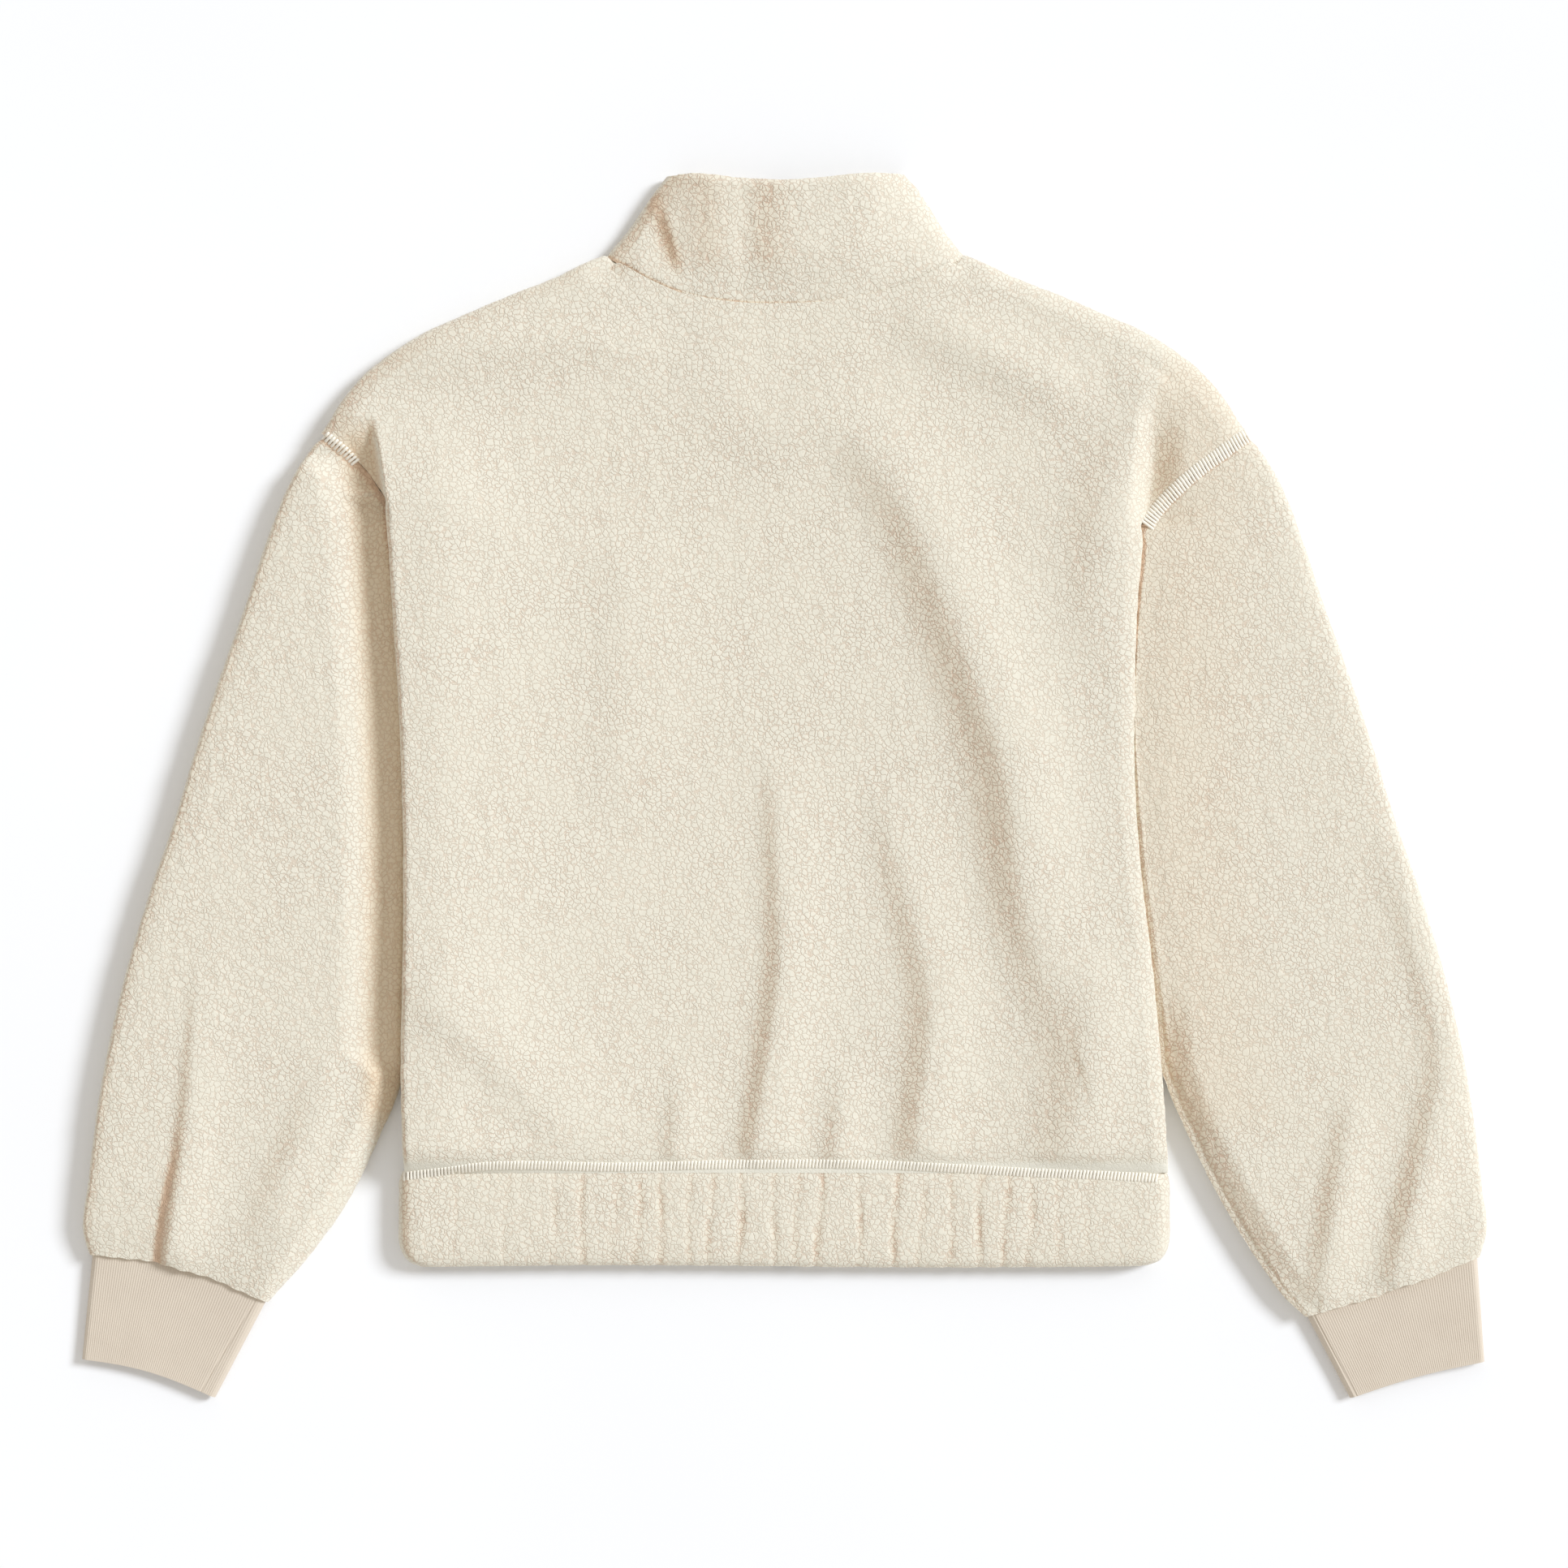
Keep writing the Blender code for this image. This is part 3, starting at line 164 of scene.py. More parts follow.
def fold_height(x, y, folds):
    """Height that a table of folds adds at plan points; a trough has heights below 0."""
    total = np.zeros(np.broadcast(x, y).shape)
    for crest, width_left, width_right in folds:
        steps = np.arange(len(crest))
        fine = np.linspace(0, len(crest) - 1, 6 * len(crest))
        line = [spline(fine, [(step, row[part]) for step, row in zip(steps, crest)])
                for part in range(3)]
        best = np.full(total.shape, 1e9)
        across = np.zeros(total.shape)
        height = np.zeros(total.shape)
        for number in range(len(fine) - 1):
            ax, ay = line[0][number], line[1][number]
            dx, dy = line[0][number + 1] - ax, line[1][number + 1] - ay
            part = np.clip(((x - ax) * dx + (y - ay) * dy) / (dx * dx + dy * dy), 0, 1)
            away = np.hypot(x - ax - part * dx, y - ay - part * dy)
            nearer = away < best
            best = np.where(nearer, away, best)
            across = np.where(nearer, dx * (y - ay) - dy * (x - ax), across)
            here = line[2][number] + part * (line[2][number + 1] - line[2][number])
            height = np.where(nearer, here, height)
        width = np.where(across > 0, width_right, width_left)
        total = total + height * np.exp(-(best / width) ** 2)
    return total


def inner_limit(y, side):
    """Distance from the centre line of the sleeve's inner edge."""
    column = side_column(side)
    free = spline(y, SLEEVE_INNER, column)
    free_of_back = ease((y - ARMHOLE[side][0][0] + 8) / 10)
    beside_body = spline(y, BODY_SIDE, column) - SLEEVE_TUCK[side] * (1 - 1.4 * free_of_back)
    return free + ease((y + 176) / 26) * (beside_body - free)


def lip_height(y, side):
    """Height of the sleeve's inner edge; beside the body's right side it is pushed up."""
    if side == LEFT:
        return LIP_HEIGHT - 2.0 * ease((y - 150) / 15)
    return LIP_HEIGHT + LIP_RISE * ease((y + 165) / 60) * ease((175 - y) / 40)


def shoulder_valley(x, y, top, side):
    """Height beside the body's rolled edge, where the cloth dips under it."""
    away = side * x - inner_limit(y, side)
    lip = lip_height(y, side)
    if side == LEFT:
        start = VALLEY_FLAT * ease((y + 172) / 20)
        return lip + (top - lip) * ease((away - start) / (VALLEY_RISE + start))
    return lip + (top - lip) * ease((away + 2) / 24)


def back_height(x, y):
    """Height of the back's upper surface inside the rolled edges."""
    height = spline(x, BACK_HEIGHT)
    yoke_start = 130 + 28 * ease((-x - 140) / 60)
    height = height + (YOKE_HEIGHT - height) * ease((y - yoke_start) / (230 - yoke_start))
    rise = np.clip((y - HEM_SEAM_Y) / 17, 0, 1)
    height = HEM_SEAM_HEIGHT + (height - HEM_SEAM_HEIGHT) * (1 - (1 - rise) ** 2.2)
    height = height + ease((y - HEM_SEAM_Y) / 12) * fold_height(x, y, BACK_FOLDS)
    for side, start, full, reach, wide in ((LEFT, 216, 184, 4, 7), (RIGHT, 240, 178, 3, 14)):
        inside = spline(y, BODY_SIDE, side_column(side)) - side * x
        step = ease((start - y) / (start - full)) * (1 - ease((inside + reach) / wide))
        step = step * ease((y - ARMHOLE[side][0][0] + 12) / 22)
        height = height + step * (shoulder_valley(x, y, ARMHOLE_HEIGHT, side) - height)
    return height


def valley_painted_shade(x, y):
    """Painted shade on the cloth outside the body's side edges, strongest at the left, from 0 to 1.
    """
    left = -x - spline(y, BODY_SIDE, 1)
    right = x - spline(y, BODY_SIDE, 2)
    low = ease((y + 215) / 30)
    valley = ease((left + 2) / 4) * (1 - ease((left - 13) / 16)) * ease((216 - y) / 24)
    cap = ease((right + 2) / 5) * (1 - ease((right - 20) / 70)) * ease((262 - y) / 30)
    return low * (valley + 0.3 * cap)


def top_edge(x):
    """y of the back's upper outline: shoulder, neck seam, shoulder."""
    return np.where(np.abs(x) < NECK_HALF, spline(x, NECKLINE), spline(np.abs(x), SHOULDER))


def back_points(column, row):
    """Upper points of the back at places across and along its grid of coarse cells."""
    column, row = np.meshgrid(column, row)
    spread = np.clip(np.minimum(column, BACK_COLUMNS - column) / ROLL, 0, 1)
    share = np.clip((column - ROLL) / (BACK_COLUMNS - 2 * ROLL), 0, 1)
    left = share < 0.5
    kept = np.where(left, spline(spread * ROLL, EDGE_SHARE[LEFT]),
                    spline(spread * ROLL, EDGE_SHARE[RIGHT]))
    flat = np.where(left, TOP_FLAT[LEFT], TOP_FLAT[RIGHT])
    reach = np.where(left, TOP_REACH[LEFT], TOP_REACH[RIGHT])
    x_side = np.where(left, -1, 1) * (reach + spread * (flat - reach))
    x_top = np.where(spread < 1, x_side, -TOP_FLAT[LEFT] + share * sum(TOP_FLAT.values()))
    y_top = top_edge(x_top)
    beyond_neck = np.maximum(np.abs(x_top), NECK_HALF + 2)
    slope = (spline(beyond_neck + 1, SHOULDER) - spline(beyond_neck - 1, SHOULDER)) / 2
    slope = np.sign(x_top) * slope
    on_shoulder = ease((np.abs(x_top) - NECK_ROUND) / 11)
    lean = slope / np.hypot(slope, 1) * on_shoulder
    low_rows = BACK_ROWS - ROLL
    climb = np.clip(row / low_rows, 0, 1)
    part = climb - 0.065 * np.sin(2 * np.pi * climb)
    step = np.clip(BACK_ROWS - row, 0, ROLL)
    top_share = spline(step, ROLL_SHARE)
    setback = spline(step, ROLL_INSET) * on_shoulder + spline(step, SEAM_INSET) * (1 - on_shoulder)
    y_last = y_top - setback * np.sqrt(1 - lean ** 2)
    near_side = 1 - ease(np.minimum(share, 1 - share) / 0.16)
    above = np.clip((part - LEVEL_PART) / (1 - LEVEL_PART), 0, 1)
    level = np.minimum(part / LEVEL_PART, 1) * (LEVEL_Y - HEM_SEAM_Y) + above * (y_last - LEVEL_Y)
    y = HEM_SEAM_Y + part * (y_last - HEM_SEAM_Y) * (1 - near_side) + near_side * level
    x = np.zeros(y.shape)
    rolled = np.zeros(y.shape)
    flat_side = {}
    for side, end in ((LEFT, 0), (RIGHT, -1)):
        y_end = y[:, end:][:, :1] if end else y[:, :1]
        under = 1 - ease((y_end - ARMHOLE[side][0][0] + 12) / 22)
        body = spline(y, BODY_SIDE, side_column(side))
        tucked = side * (body - spline(spread * ROLL, EDGE_INSET[side]))
        reach = spline(y_end, ARMHOLE[side])
        flat_from = body - EDGE_INSET[side][-1][1]
        outward = side * (reach + spread * (flat_from - reach))
        mine = left if side == LEFT else ~left
        x = np.where(mine & (spread < 1), outward + under * (tucked - outward), x)
        rolled = np.where(mine, under, rolled)
        flat_side[side] = side * flat_from
    across = flat_side[LEFT] + share * (flat_side[RIGHT] - flat_side[LEFT])
    x = np.where(spread >= 1, across, x) + lean * setback * spread * ease((part - 0.8) / 0.2)
    shares = (1 + rolled * (kept - 1)) * (1 + on_shoulder * (top_share - 1))
    z = LOW + (back_height(x, y) - LOW) * shares
    return np.stack((x, y, z), axis=-1)


def grid_normals(points, closed):
    """Unit normals of a grid of points; closed joins its last column to its first."""
    if closed:
        wrapped = np.concatenate((points[:, -1:], points, points[:, :1]), axis=1)
        across = wrapped[:, 2:] - wrapped[:, :-2]
    else:
        across = np.gradient(points, axis=1)
    normal = np.cross(across, np.gradient(points, axis=0))
    normal = normal / np.maximum(np.linalg.norm(normal, axis=2, keepdims=True), 1e-9)
    highest = np.unravel_index(np.argmax(points[..., 2]), points.shape[:2])
    return normal * math.copysign(1.0, normal[highest][2])


# height of the pile's lumps, and the angle from which an edge of the cloth is shaded as a rim
PILE_LUMP, RIM_ANGLE = 0.3, math.radians(55)
# On slopes that face left, away from the key light, painted shade: the pile's cracks are darker,
# its lumps higher and the warm tint is added, as if lit off other cloth. The slope at which that
# starts, the most that counts, and what it adds to nap and to blush.
AWAY_FROM, AWAY_MOST, AWAY_NAP_AND_SHADE, AWAY_PAINTED_SHADE = 0.08, 0.4, 0.9, 1.3


def pile(points, normals, nap, amount=1.0):
    """Points moved out and in by the lumps of the pile, less where nap is under 1."""
    flat = points.reshape(-1, 3)
    lumps = np.array([0.7 * noise.noise(Vector(point / 9.0)) + noise.noise(Vector(point / 4.2))
                      for point in flat]).reshape(points.shape[:2])
    lift = PILE_LUMP * amount * lumps * nap
    return points + normals * lift[..., None]


def stitch_rim(first, second, closed):
    """Triangles between two lines of vertex numbers."""
    first = list(first) + [first[0]] if closed else list(first)
    second = list(second) + [second[0]] if closed else list(second)
    faces = []
    a, b = 0, 0
    while a < len(first) - 1 or b < len(second) - 1:
        ahead = (a + 1) * (len(second) - 1) <= (b + 1) * (len(first) - 1)
        if b == len(second) - 1 or (a < len(first) - 1 and ahead):
            faces.append((first[a], first[a + 1], second[b]))
            a += 1
        else:
            faces.append((first[a], second[b + 1], second[b]))
            b += 1
    return faces


def grid_quads(numbers, closed):
    """Quads of a grid of vertex numbers."""
    after = np.roll(numbers, -1, axis=1) if closed else numbers[:, 1:]
    before = numbers if closed else numbers[:, :-1]
    quads = np.stack((before[:-1], after[:-1], after[1:], before[1:]), axis=-1)
    return quads.reshape(-1, 4).tolist()


def add_piece(name, points, faces):
    """New piece from points in millimetres and faces."""
    mesh = bpy.data.meshes.new(name)
    mesh.from_pydata(((np.array(points) - CENTRE) * MM).tolist(), [], faces)
    piece = bpy.data.objects.new(name, mesh)
    bpy.context.scene.collection.objects.link(piece)
    return piece


def deselect_all():
    """Leave no piece selected."""
    for other in bpy.context.selected_objects:
        other.select_set(False)


def open_mesh(piece):
    """Select one piece alone, and all of its mesh in edit mode."""
    deselect_all()
    bpy.context.view_layer.objects.active = piece
    piece.select_set(True)
    bpy.ops.object.mode_set(mode="EDIT")
    bpy.ops.mesh.select_all(action="SELECT")


def store_values(piece, name, values):
    """Give the points of a piece values that its material reads."""
    piece.data.attributes.new(name, "FLOAT", "POINT").data.foreach_set("value", values)


def wall_depth(grid, turns, folded=FOLDED):
    """Thickness of the fleece at a grid's points, with spans of columns where it turns over."""
    depth = np.full(grid.shape[:2], FLEECE)
    for first, last in turns:
        depth[:, first:last] = folded
    return depth


def cloth(name, smooth, depth, closed, nap=1.0, coarse=3, amount=1.0, blush=0.0, fine=0):
    """Closed wall of cloth: a fine outer grid with its pile, a coarser inner one and the rims."""
    normals = grid_normals(smooth, closed)
    nap = np.broadcast_to(np.asarray(nap, float), smooth.shape[:2])
    # painted shade on slopes facing away from the key light: more nap and blush there
    away = np.clip(-normals[..., 0] - AWAY_FROM, 0, AWAY_MOST) * ease((normals[..., 2] - 0.6) / 0.2)
    nap = nap * (1 + AWAY_NAP_AND_SHADE * away)
    outer = pile(smooth, normals, nap, amount)
    outer[..., 2] = np.maximum(outer[..., 2], 0.0)
    count_rows, count_columns = smooth.shape[:2]
    rows = sorted({*range(0, count_rows, min(coarse, 2)), count_rows - 1})
    columns = sorted({*range(0, count_columns, coarse), *range(fine), count_columns - 1,
                      *range(count_columns - fine, count_columns)})
    depth = np.broadcast_to(np.asarray(depth, float), smooth.shape[:2])[..., None]
    inner = (smooth - normals * depth)[np.ix_(rows, columns)]
    inner[..., 2] = np.maximum(inner[..., 2], 0.3)
    count = outer.shape[0] * outer.shape[1]
    shell = np.arange(count).reshape(outer.shape[:2])
    lining = count + np.arange(inner.shape[0] * inner.shape[1]).reshape(inner.shape[:2])
    faces = grid_quads(shell, closed) + grid_quads(lining, closed)
    faces += stitch_rim(shell[0], lining[0], closed) + stitch_rim(shell[-1], lining[-1], closed)
    if not closed:
        faces += stitch_rim(shell[:, 0], lining[:, 0], False)
        faces += stitch_rim(shell[:, -1], lining[:, -1], False)
    piece = add_piece(name, np.concatenate((outer.reshape(-1, 3), inner.reshape(-1, 3))), faces)
    # painted shade: share of the warm tint at each point of the outside, none on the lining
    blush = np.clip(np.broadcast_to(blush, smooth.shape[:2]) + AWAY_PAINTED_SHADE * away, 0, 1)
    store_values(piece, "nap", np.concatenate((nap.ravel(), np.ones(inner.size // 3))))
    store_values(piece, "blush", np.concatenate((blush.ravel(), np.zeros(inner.size // 3))))
    open_mesh(piece)
    bpy.ops.mesh.normals_make_consistent(inside=False)
    bpy.ops.mesh.select_all(action="DESELECT")
    bpy.ops.mesh.select_mode(type="EDGE")
    bpy.ops.mesh.edges_select_sharp(sharpness=RIM_ANGLE)
    bpy.ops.mesh.mark_sharp()
    bpy.ops.mesh.select_mode(type="VERT")
    bpy.ops.object.mode_set(mode="OBJECT")
    bpy.ops.object.shade_smooth(keep_sharp_edges=True)
    piece.select_set(False)
    return piece


class Wire:
    """An output socket of a finish, on which Python's operators add Math nodes."""

    def __init__(self, finish, socket):
        self.finish = finish
        self.socket = socket

    def reckon(self, operation, first, second):
        """Math node of two values or wires."""
        return self.finish.node("ShaderNodeMath", {"operation": operation}, {0: first, 1: second})

    def __add__(self, other):
        return self.reckon("ADD", self, other)

    def __radd__(self, other):
        return self.reckon("ADD", other, self)

    def __sub__(self, other):
        return self.reckon("SUBTRACT", self, other)

    def __rsub__(self, other):
        return self.reckon("SUBTRACT", other, self)

    def __mul__(self, other):
        return self.reckon("MULTIPLY", self, other)

    def __rmul__(self, other):
        return self.reckon("MULTIPLY", other, self)


class Finish:
    """A material and the nodes of its finish."""

    def __init__(self, name, **sockets):
        self.material = bpy.data.materials.new(name)
        self.material.use_nodes = True
        self.tree = self.material.node_tree
        self.shader = self.tree.nodes["Principled BSDF"]
        for socket, value in sockets.items():
            self.shader.inputs[socket.replace("_", " ")].default_value = value
        self.place = self.node("ShaderNodeTexCoord", {}, {}, "Object")

    def node(self, kind, settings, sockets, output=0):
        """Add a node: its settings first, then the values or wires of its sockets."""
        made = self.tree.nodes.new(kind)
        for setting, value in settings.items():
            if setting == "stops":
                for stop, (place, colour) in zip(made.color_ramp.elements, (value[0], value[-1])):
                    stop.position = place
                    stop.color = (*colour, 1)
                for place, colour in value[1:-1]:
                    made.color_ramp.elements.new(place).color = (*colour, 1)
            else:
                setattr(made, setting, value)
        for socket, value in sockets.items():
            if isinstance(value, Wire):
                self.tree.links.new(value.socket, made.inputs[socket])
            else:
                made.inputs[socket].default_value = value
        return Wire(self, made.outputs[output])

    def feed(self, socket, wire):
        """Join a wire to a socket of the shader."""
        self.tree.links.new(wire.socket, self.shader.inputs[socket])

    def clouds(self, place, scale, **sockets):
        """Value of a noise texture at a place."""
        return self.node("ShaderNodeTexNoise", {}, {"Vector": place, "Scale": scale, **sockets},
                         "Fac")

    def ramp(self, tone, *stops):
        """Colour of a tone, between stops of a place and a colour each."""
        return self.node("ShaderNodeValToRGB", {"stops": stops}, {0: tone}, "Color")

    def coat(self, colour, height, strength, distance):
        """Give the shader a colour, and the relief of a height."""
        relief = self.node("ShaderNodeBump", {}, {"Strength": strength, "Distance": distance,
                                                  "Height": height}, "Normal")
        self.feed("Base Color", colour)
        self.feed("Normal", relief)


# painted shade: warm tint of the pile in valleys, creases and on steep slopes, lit off other cloth
PAINTED_SHADE_TINT = (0.98, 0.87, 0.76, 1.0)
# Patterns to the metre: clumps of pile, the curls on them, patches where it lies open, and the
# noise that bends the clumps, with how far it moves them; last the width of a crack.
CLUMPS, CURLS, PATCHES, BENDS = 340.0, 620.0, 34.0, 260.0
BEND_REACH, CRACK_WIDTH = 0.0042, 0.16


def fleece_finish(name, dark, middle, light):
    """Curly sherpa pile: warped clumps a few millimetres wide, with finer curls on them."""
    finish = Finish(name, Roughness=0.95, Sheen_Weight=0.4, Sheen_Roughness=0.5,
                    Sheen_Tint=(1.0, 0.97, 0.92, 1.0), Specular_IOR_Level=0.15)
    place = finish.place
    nap = finish.node("ShaderNodeAttribute", {"attribute_name": "nap"}, {}, "Fac")
    drift = finish.node("ShaderNodeTexNoise", {}, {"Vector": place, "Scale": BENDS, "Detail": 2.0},
                        "Color")
    drift = finish.node("ShaderNodeVectorMath", {"operation": "SUBTRACT"},
                        {0: drift, 1: (0.5, 0.5, 0.5)})
    drift = finish.node("ShaderNodeVectorMath", {"operation": "SCALE"},
                        {0: drift, "Scale": BEND_REACH})
    warped = finish.node("ShaderNodeVectorMath", {"operation": "ADD"}, {0: place, 1: drift})
    gaps = finish.node("ShaderNodeTexVoronoi", {"feature": "DISTANCE_TO_EDGE"},
                       {"Vector": warped, "Scale": CLUMPS}, "Distance")
    crack = finish.node("ShaderNodeMapRange", {"interpolation_type": "SMOOTHSTEP"},
                        {"Value": gaps, "From Min": 0.0, "From Max": CRACK_WIDTH,
                         "To Min": 1.0, "To Max": 0.0}, "Result")
    curls = finish.clouds(warped, CURLS, Detail=3.0, Roughness=0.6)
    patches = finish.clouds(place, PATCHES, Detail=2.0)
    open_pile = finish.node("ShaderNodeMapRange", {}, {"Value": patches, "From Min": 0.35,
                            "From Max": 0.7, "To Min": 0.62, "To Max": 1.0}, "Result")
    # painted shade: the cracks between clumps are drawn darker, scaled by nap
    crack = crack * open_pile * nap
    height = curls * 0.45 * (nap * 0.8 + 0.2) - crack
    tone = 0.7 - crack * 0.46 + (curls - 0.5) * 0.25 + (patches - 0.5) * 0.15 + (1.0 - nap) * 0.4
    colour = finish.ramp(tone, (0.12, dark), (0.58, middle), (1.0, light))
    # painted shade: the warm tint multiplied in by blush
    blush = finish.node("ShaderNodeAttribute", {"attribute_name": "blush"}, {}, "Fac")
    colour = finish.node("ShaderNodeMixRGB", {"blend_type": "MULTIPLY"},
                         {"Fac": blush, "Color1": colour, "Color2": PAINTED_SHADE_TINT}, "Color")
    finish.coat(colour, height, 0.42, 0.001)
    return finish.material


FLEECE_DARK = (0.68, 0.54, 0.42)
FLEECE_MIDDLE = (0.80, 0.75, 0.62)
FLEECE_LIGHT = (0.84, 0.81, 0.70)
fleece = fleece_finish("fleece_pile", FLEECE_DARK, FLEECE_MIDDLE, FLEECE_LIGHT)

# lines of the fine grid: across a rolled side and the flat part, up the flat part and the top
ROLL_LINES, FLAT_LINES, RISE_LINES, TOP_LINES = 25, 204, 262, 13
# columns where the cloth turns over at the sides, rows where it does at the shoulders, and
# columns at each side where the lining is as fine as the outside
BACK_TURNS, SHOULDER_ROWS, FINE_COLUMNS = ((0, 28), (-28, None)), 14, 60
roll_places = np.linspace(0, ROLL, ROLL_LINES)[:-1]
flat_places = np.linspace(ROLL, BACK_COLUMNS - ROLL, FLAT_LINES)
back_columns = np.concatenate((roll_places, flat_places, BACK_COLUMNS - roll_places[::-1]))
low_places = np.linspace(0, BACK_ROWS - ROLL, RISE_LINES)
top_places = np.linspace(BACK_ROWS - ROLL, BACK_ROWS, TOP_LINES)[1:]
back_grid = back_points(back_columns, np.concatenate((low_places, top_places)))
back_depth = wall_depth(back_grid, BACK_TURNS)
back_depth[-SHOULDER_ROWS:][np.abs(back_grid[-SHOULDER_ROWS:, :, 0]) > 90] = FOLDED
back_nap = 1 - 0.75 * np.exp(-((back_grid[..., 1] - HEM_SEAM_Y - 2) / 4.5) ** 4)
# painted shade on the back beside its side edges
back_painted_shade = valley_painted_shade(back_grid[..., 0], back_grid[..., 1])
back = cloth("back_cloth", back_grid, back_depth, False, back_nap, blush=back_painted_shade,
             fine=FINE_COLUMNS)
back.data.materials.append(fleece)
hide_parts("back_panel")
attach(back, "jacket")

# The two fronts: flat panels of the same fleece under the back, side by side with the zip
# between them. Only their undersides show, from below, where the pile is pressed flat.
FRONT_PILE, FRONT_NAP, FRONT_CUTS = 0.25, 0.7, 7


def front_cloth(name, node):
    """A front from its solid, with the pressed pile on its underside."""
    source = bpy.data.objects[node]
    piece = source.copy()
    piece.data = source.data.copy()
    piece.name = name
    bpy.context.scene.collection.objects.link(piece)
    open_mesh(piece)
    bpy.ops.mesh.remove_doubles(threshold=0.00002)
    bpy.ops.mesh.subdivide(number_cuts=FRONT_CUTS)
    bpy.ops.object.mode_set(mode="OBJECT")
    for point in piece.data.vertices:
        lump = noise.noise(point.co * (1 / (6 * MM)))
        if point.co.z < MM:
            point.co.z += FRONT_PILE * MM * (1 + lump)
    piece.select_set(False)
    return piece


for side_name in ("left", "right"):
    front = front_cloth(f"front_{side_name}_cloth", f"front_{side_name}")
    store_values(front, "nap", np.full(len(front.data.vertices), FRONT_NAP))
    front.data.materials.clear()
    front.data.materials.append(fleece)
    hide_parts(f"front_{side_name}")
    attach(front, "jacket")

# The two sleeves: tubes of fleece lying flat, with rounded folds at their edges. Each one is
# sewn to the back at the armhole, lies beside the body under its rolled edge, and is gathered a
# little where the cuff is sewn on.
SLEEVE_OUTER = (
    (-273, 404), (-262, 407), (-232, 404.3), (-190, 399), (-148, 391.5), (-105, 381),
    (-63, 368.5), (-21, 354), (22, 341), (64, 327), (106, 312), (148, 298), (177, 286),
    (191, 277.5), (203, 268.5),
)
# share of the sleeve's length, y of its outer end, y of its inner end, bow of the ring
UPPER_RINGS = (
    (0.00, 201.6, 45, 1.00), (0.10, 165, 20, 0.75), (0.25, 100, -22, 0.42),
    (0.45, 10, -80, 0.12), (0.65, -85, -145, 0.00),
)
SLEEVE_RING = {
    LEFT: (*UPPER_RINGS, (0.85, -190, -228, 0), (0.95, -247, -280, 0), (1.00, -273, -301, 0)),
    RIGHT: (*UPPER_RINGS, (0.85, -190, -230, 0), (0.95, -247, -286, 0), (1.00, -274, -309, 0)),
}
# how far the seam at the cuff bows up
CUFF_SEAM_BOW = {LEFT: 7.5, RIGHT: -1.0}
SLEEVE_HEIGHT = (
    (0.00, 17), (0.10, 17.6), (0.30, 18.0), (0.60, 17.6), (0.85, 16.5), (0.94, 15), (0.98, 12.5),
    (1.00, 10.5),
)
SLEEVE_FOLDS = {
    LEFT: (
        (((-336, -90, 0), (-341, -150, 1.8), (-346, -204, 3.2), (-353, -250, 4.6),
          (-357, -276, 4.6)), 5, 18),
        (((-262, -150, 0), (-270, -190, 2.5), (-290, -235, 3), (-305, -270, 0)), 14, 14),
    ),
    RIGHT: (
        (((350, -20, 0), (358, -60, 1.8), (371, -110, 2.2), (381, -157, 2.6), (373, -204, 3.8),
          (363, -247, 4.8), (355, -284, 3.6)), 10, 17),
        (((330, -170, 0), (326, -204, 2.5), (318, -250, 3.8), (312, -290, 2.6)), 9, 15),
    ),
}
ARMHOLE_TOP_Y, UNDERARM_Y = 201.6, 45.0
# distance from a sleeve's edge, share of the height there
OUTER_ROUND = ((0, 0.48), (0.8, 0.74), (2, 0.86), (5, 0.94), (10, 0.98), (16, 1.0))
INNER_ROUND = {
    LEFT: ((0, 0.5), (1.5, 0.78), (3.5, 0.92), (8, 1.0)),
    RIGHT: ((0, 0.92), (1.2, 0.96), (3.0, 1.0), (8, 1.0)),
}
# depth of the small tucks at the cuff, and of the groove at the armhole seam
TUCK_DEPTH, ARMHOLE_GROOVE = 1.8, 0.7
SLEEVE_TOP_COLUMNS, SLEEVE_LOW_COLUMNS, SLEEVE_RINGS = 112, 22, 290
# the underside's end columns: distance in from the edge, at the sleeve's mean width, and height
SLEEVE_WIDTH = 160
LOW_INNER_END = np.array(((1.2, 2.8), (3.0, 0.9), (6.0, 0.0)))
LOW_OUTER_END = np.array(((5.0, 0.0), (2.8, 0.9), (1.2, 2.9)))
# columns where the cloth turns over at the outer edge, at the inner one and at the outer again
SLEEVE_TURNS = ((0, 14), (98, 116), (-5, None))


def armhole_line(side):
    """The sleeve's edge along the armhole, from the shoulder to the underarm."""
    edge = back_grid[:, 0 if side == LEFT else -1]
    edge = edge[:np.argmax(edge[:, 1]) + 1]
    y = np.linspace(ARMHOLE_TOP_Y, UNDERARM_Y, 200)
    seam = np.interp(y, edge[:, 1], side * edge[:, 0]) + 0.2
    free = np.maximum(seam, inner_limit(y, side))
    return free + ease((y - ARMHOLE[side][0][0] + 9) / 9) * (seam - free), y, edge


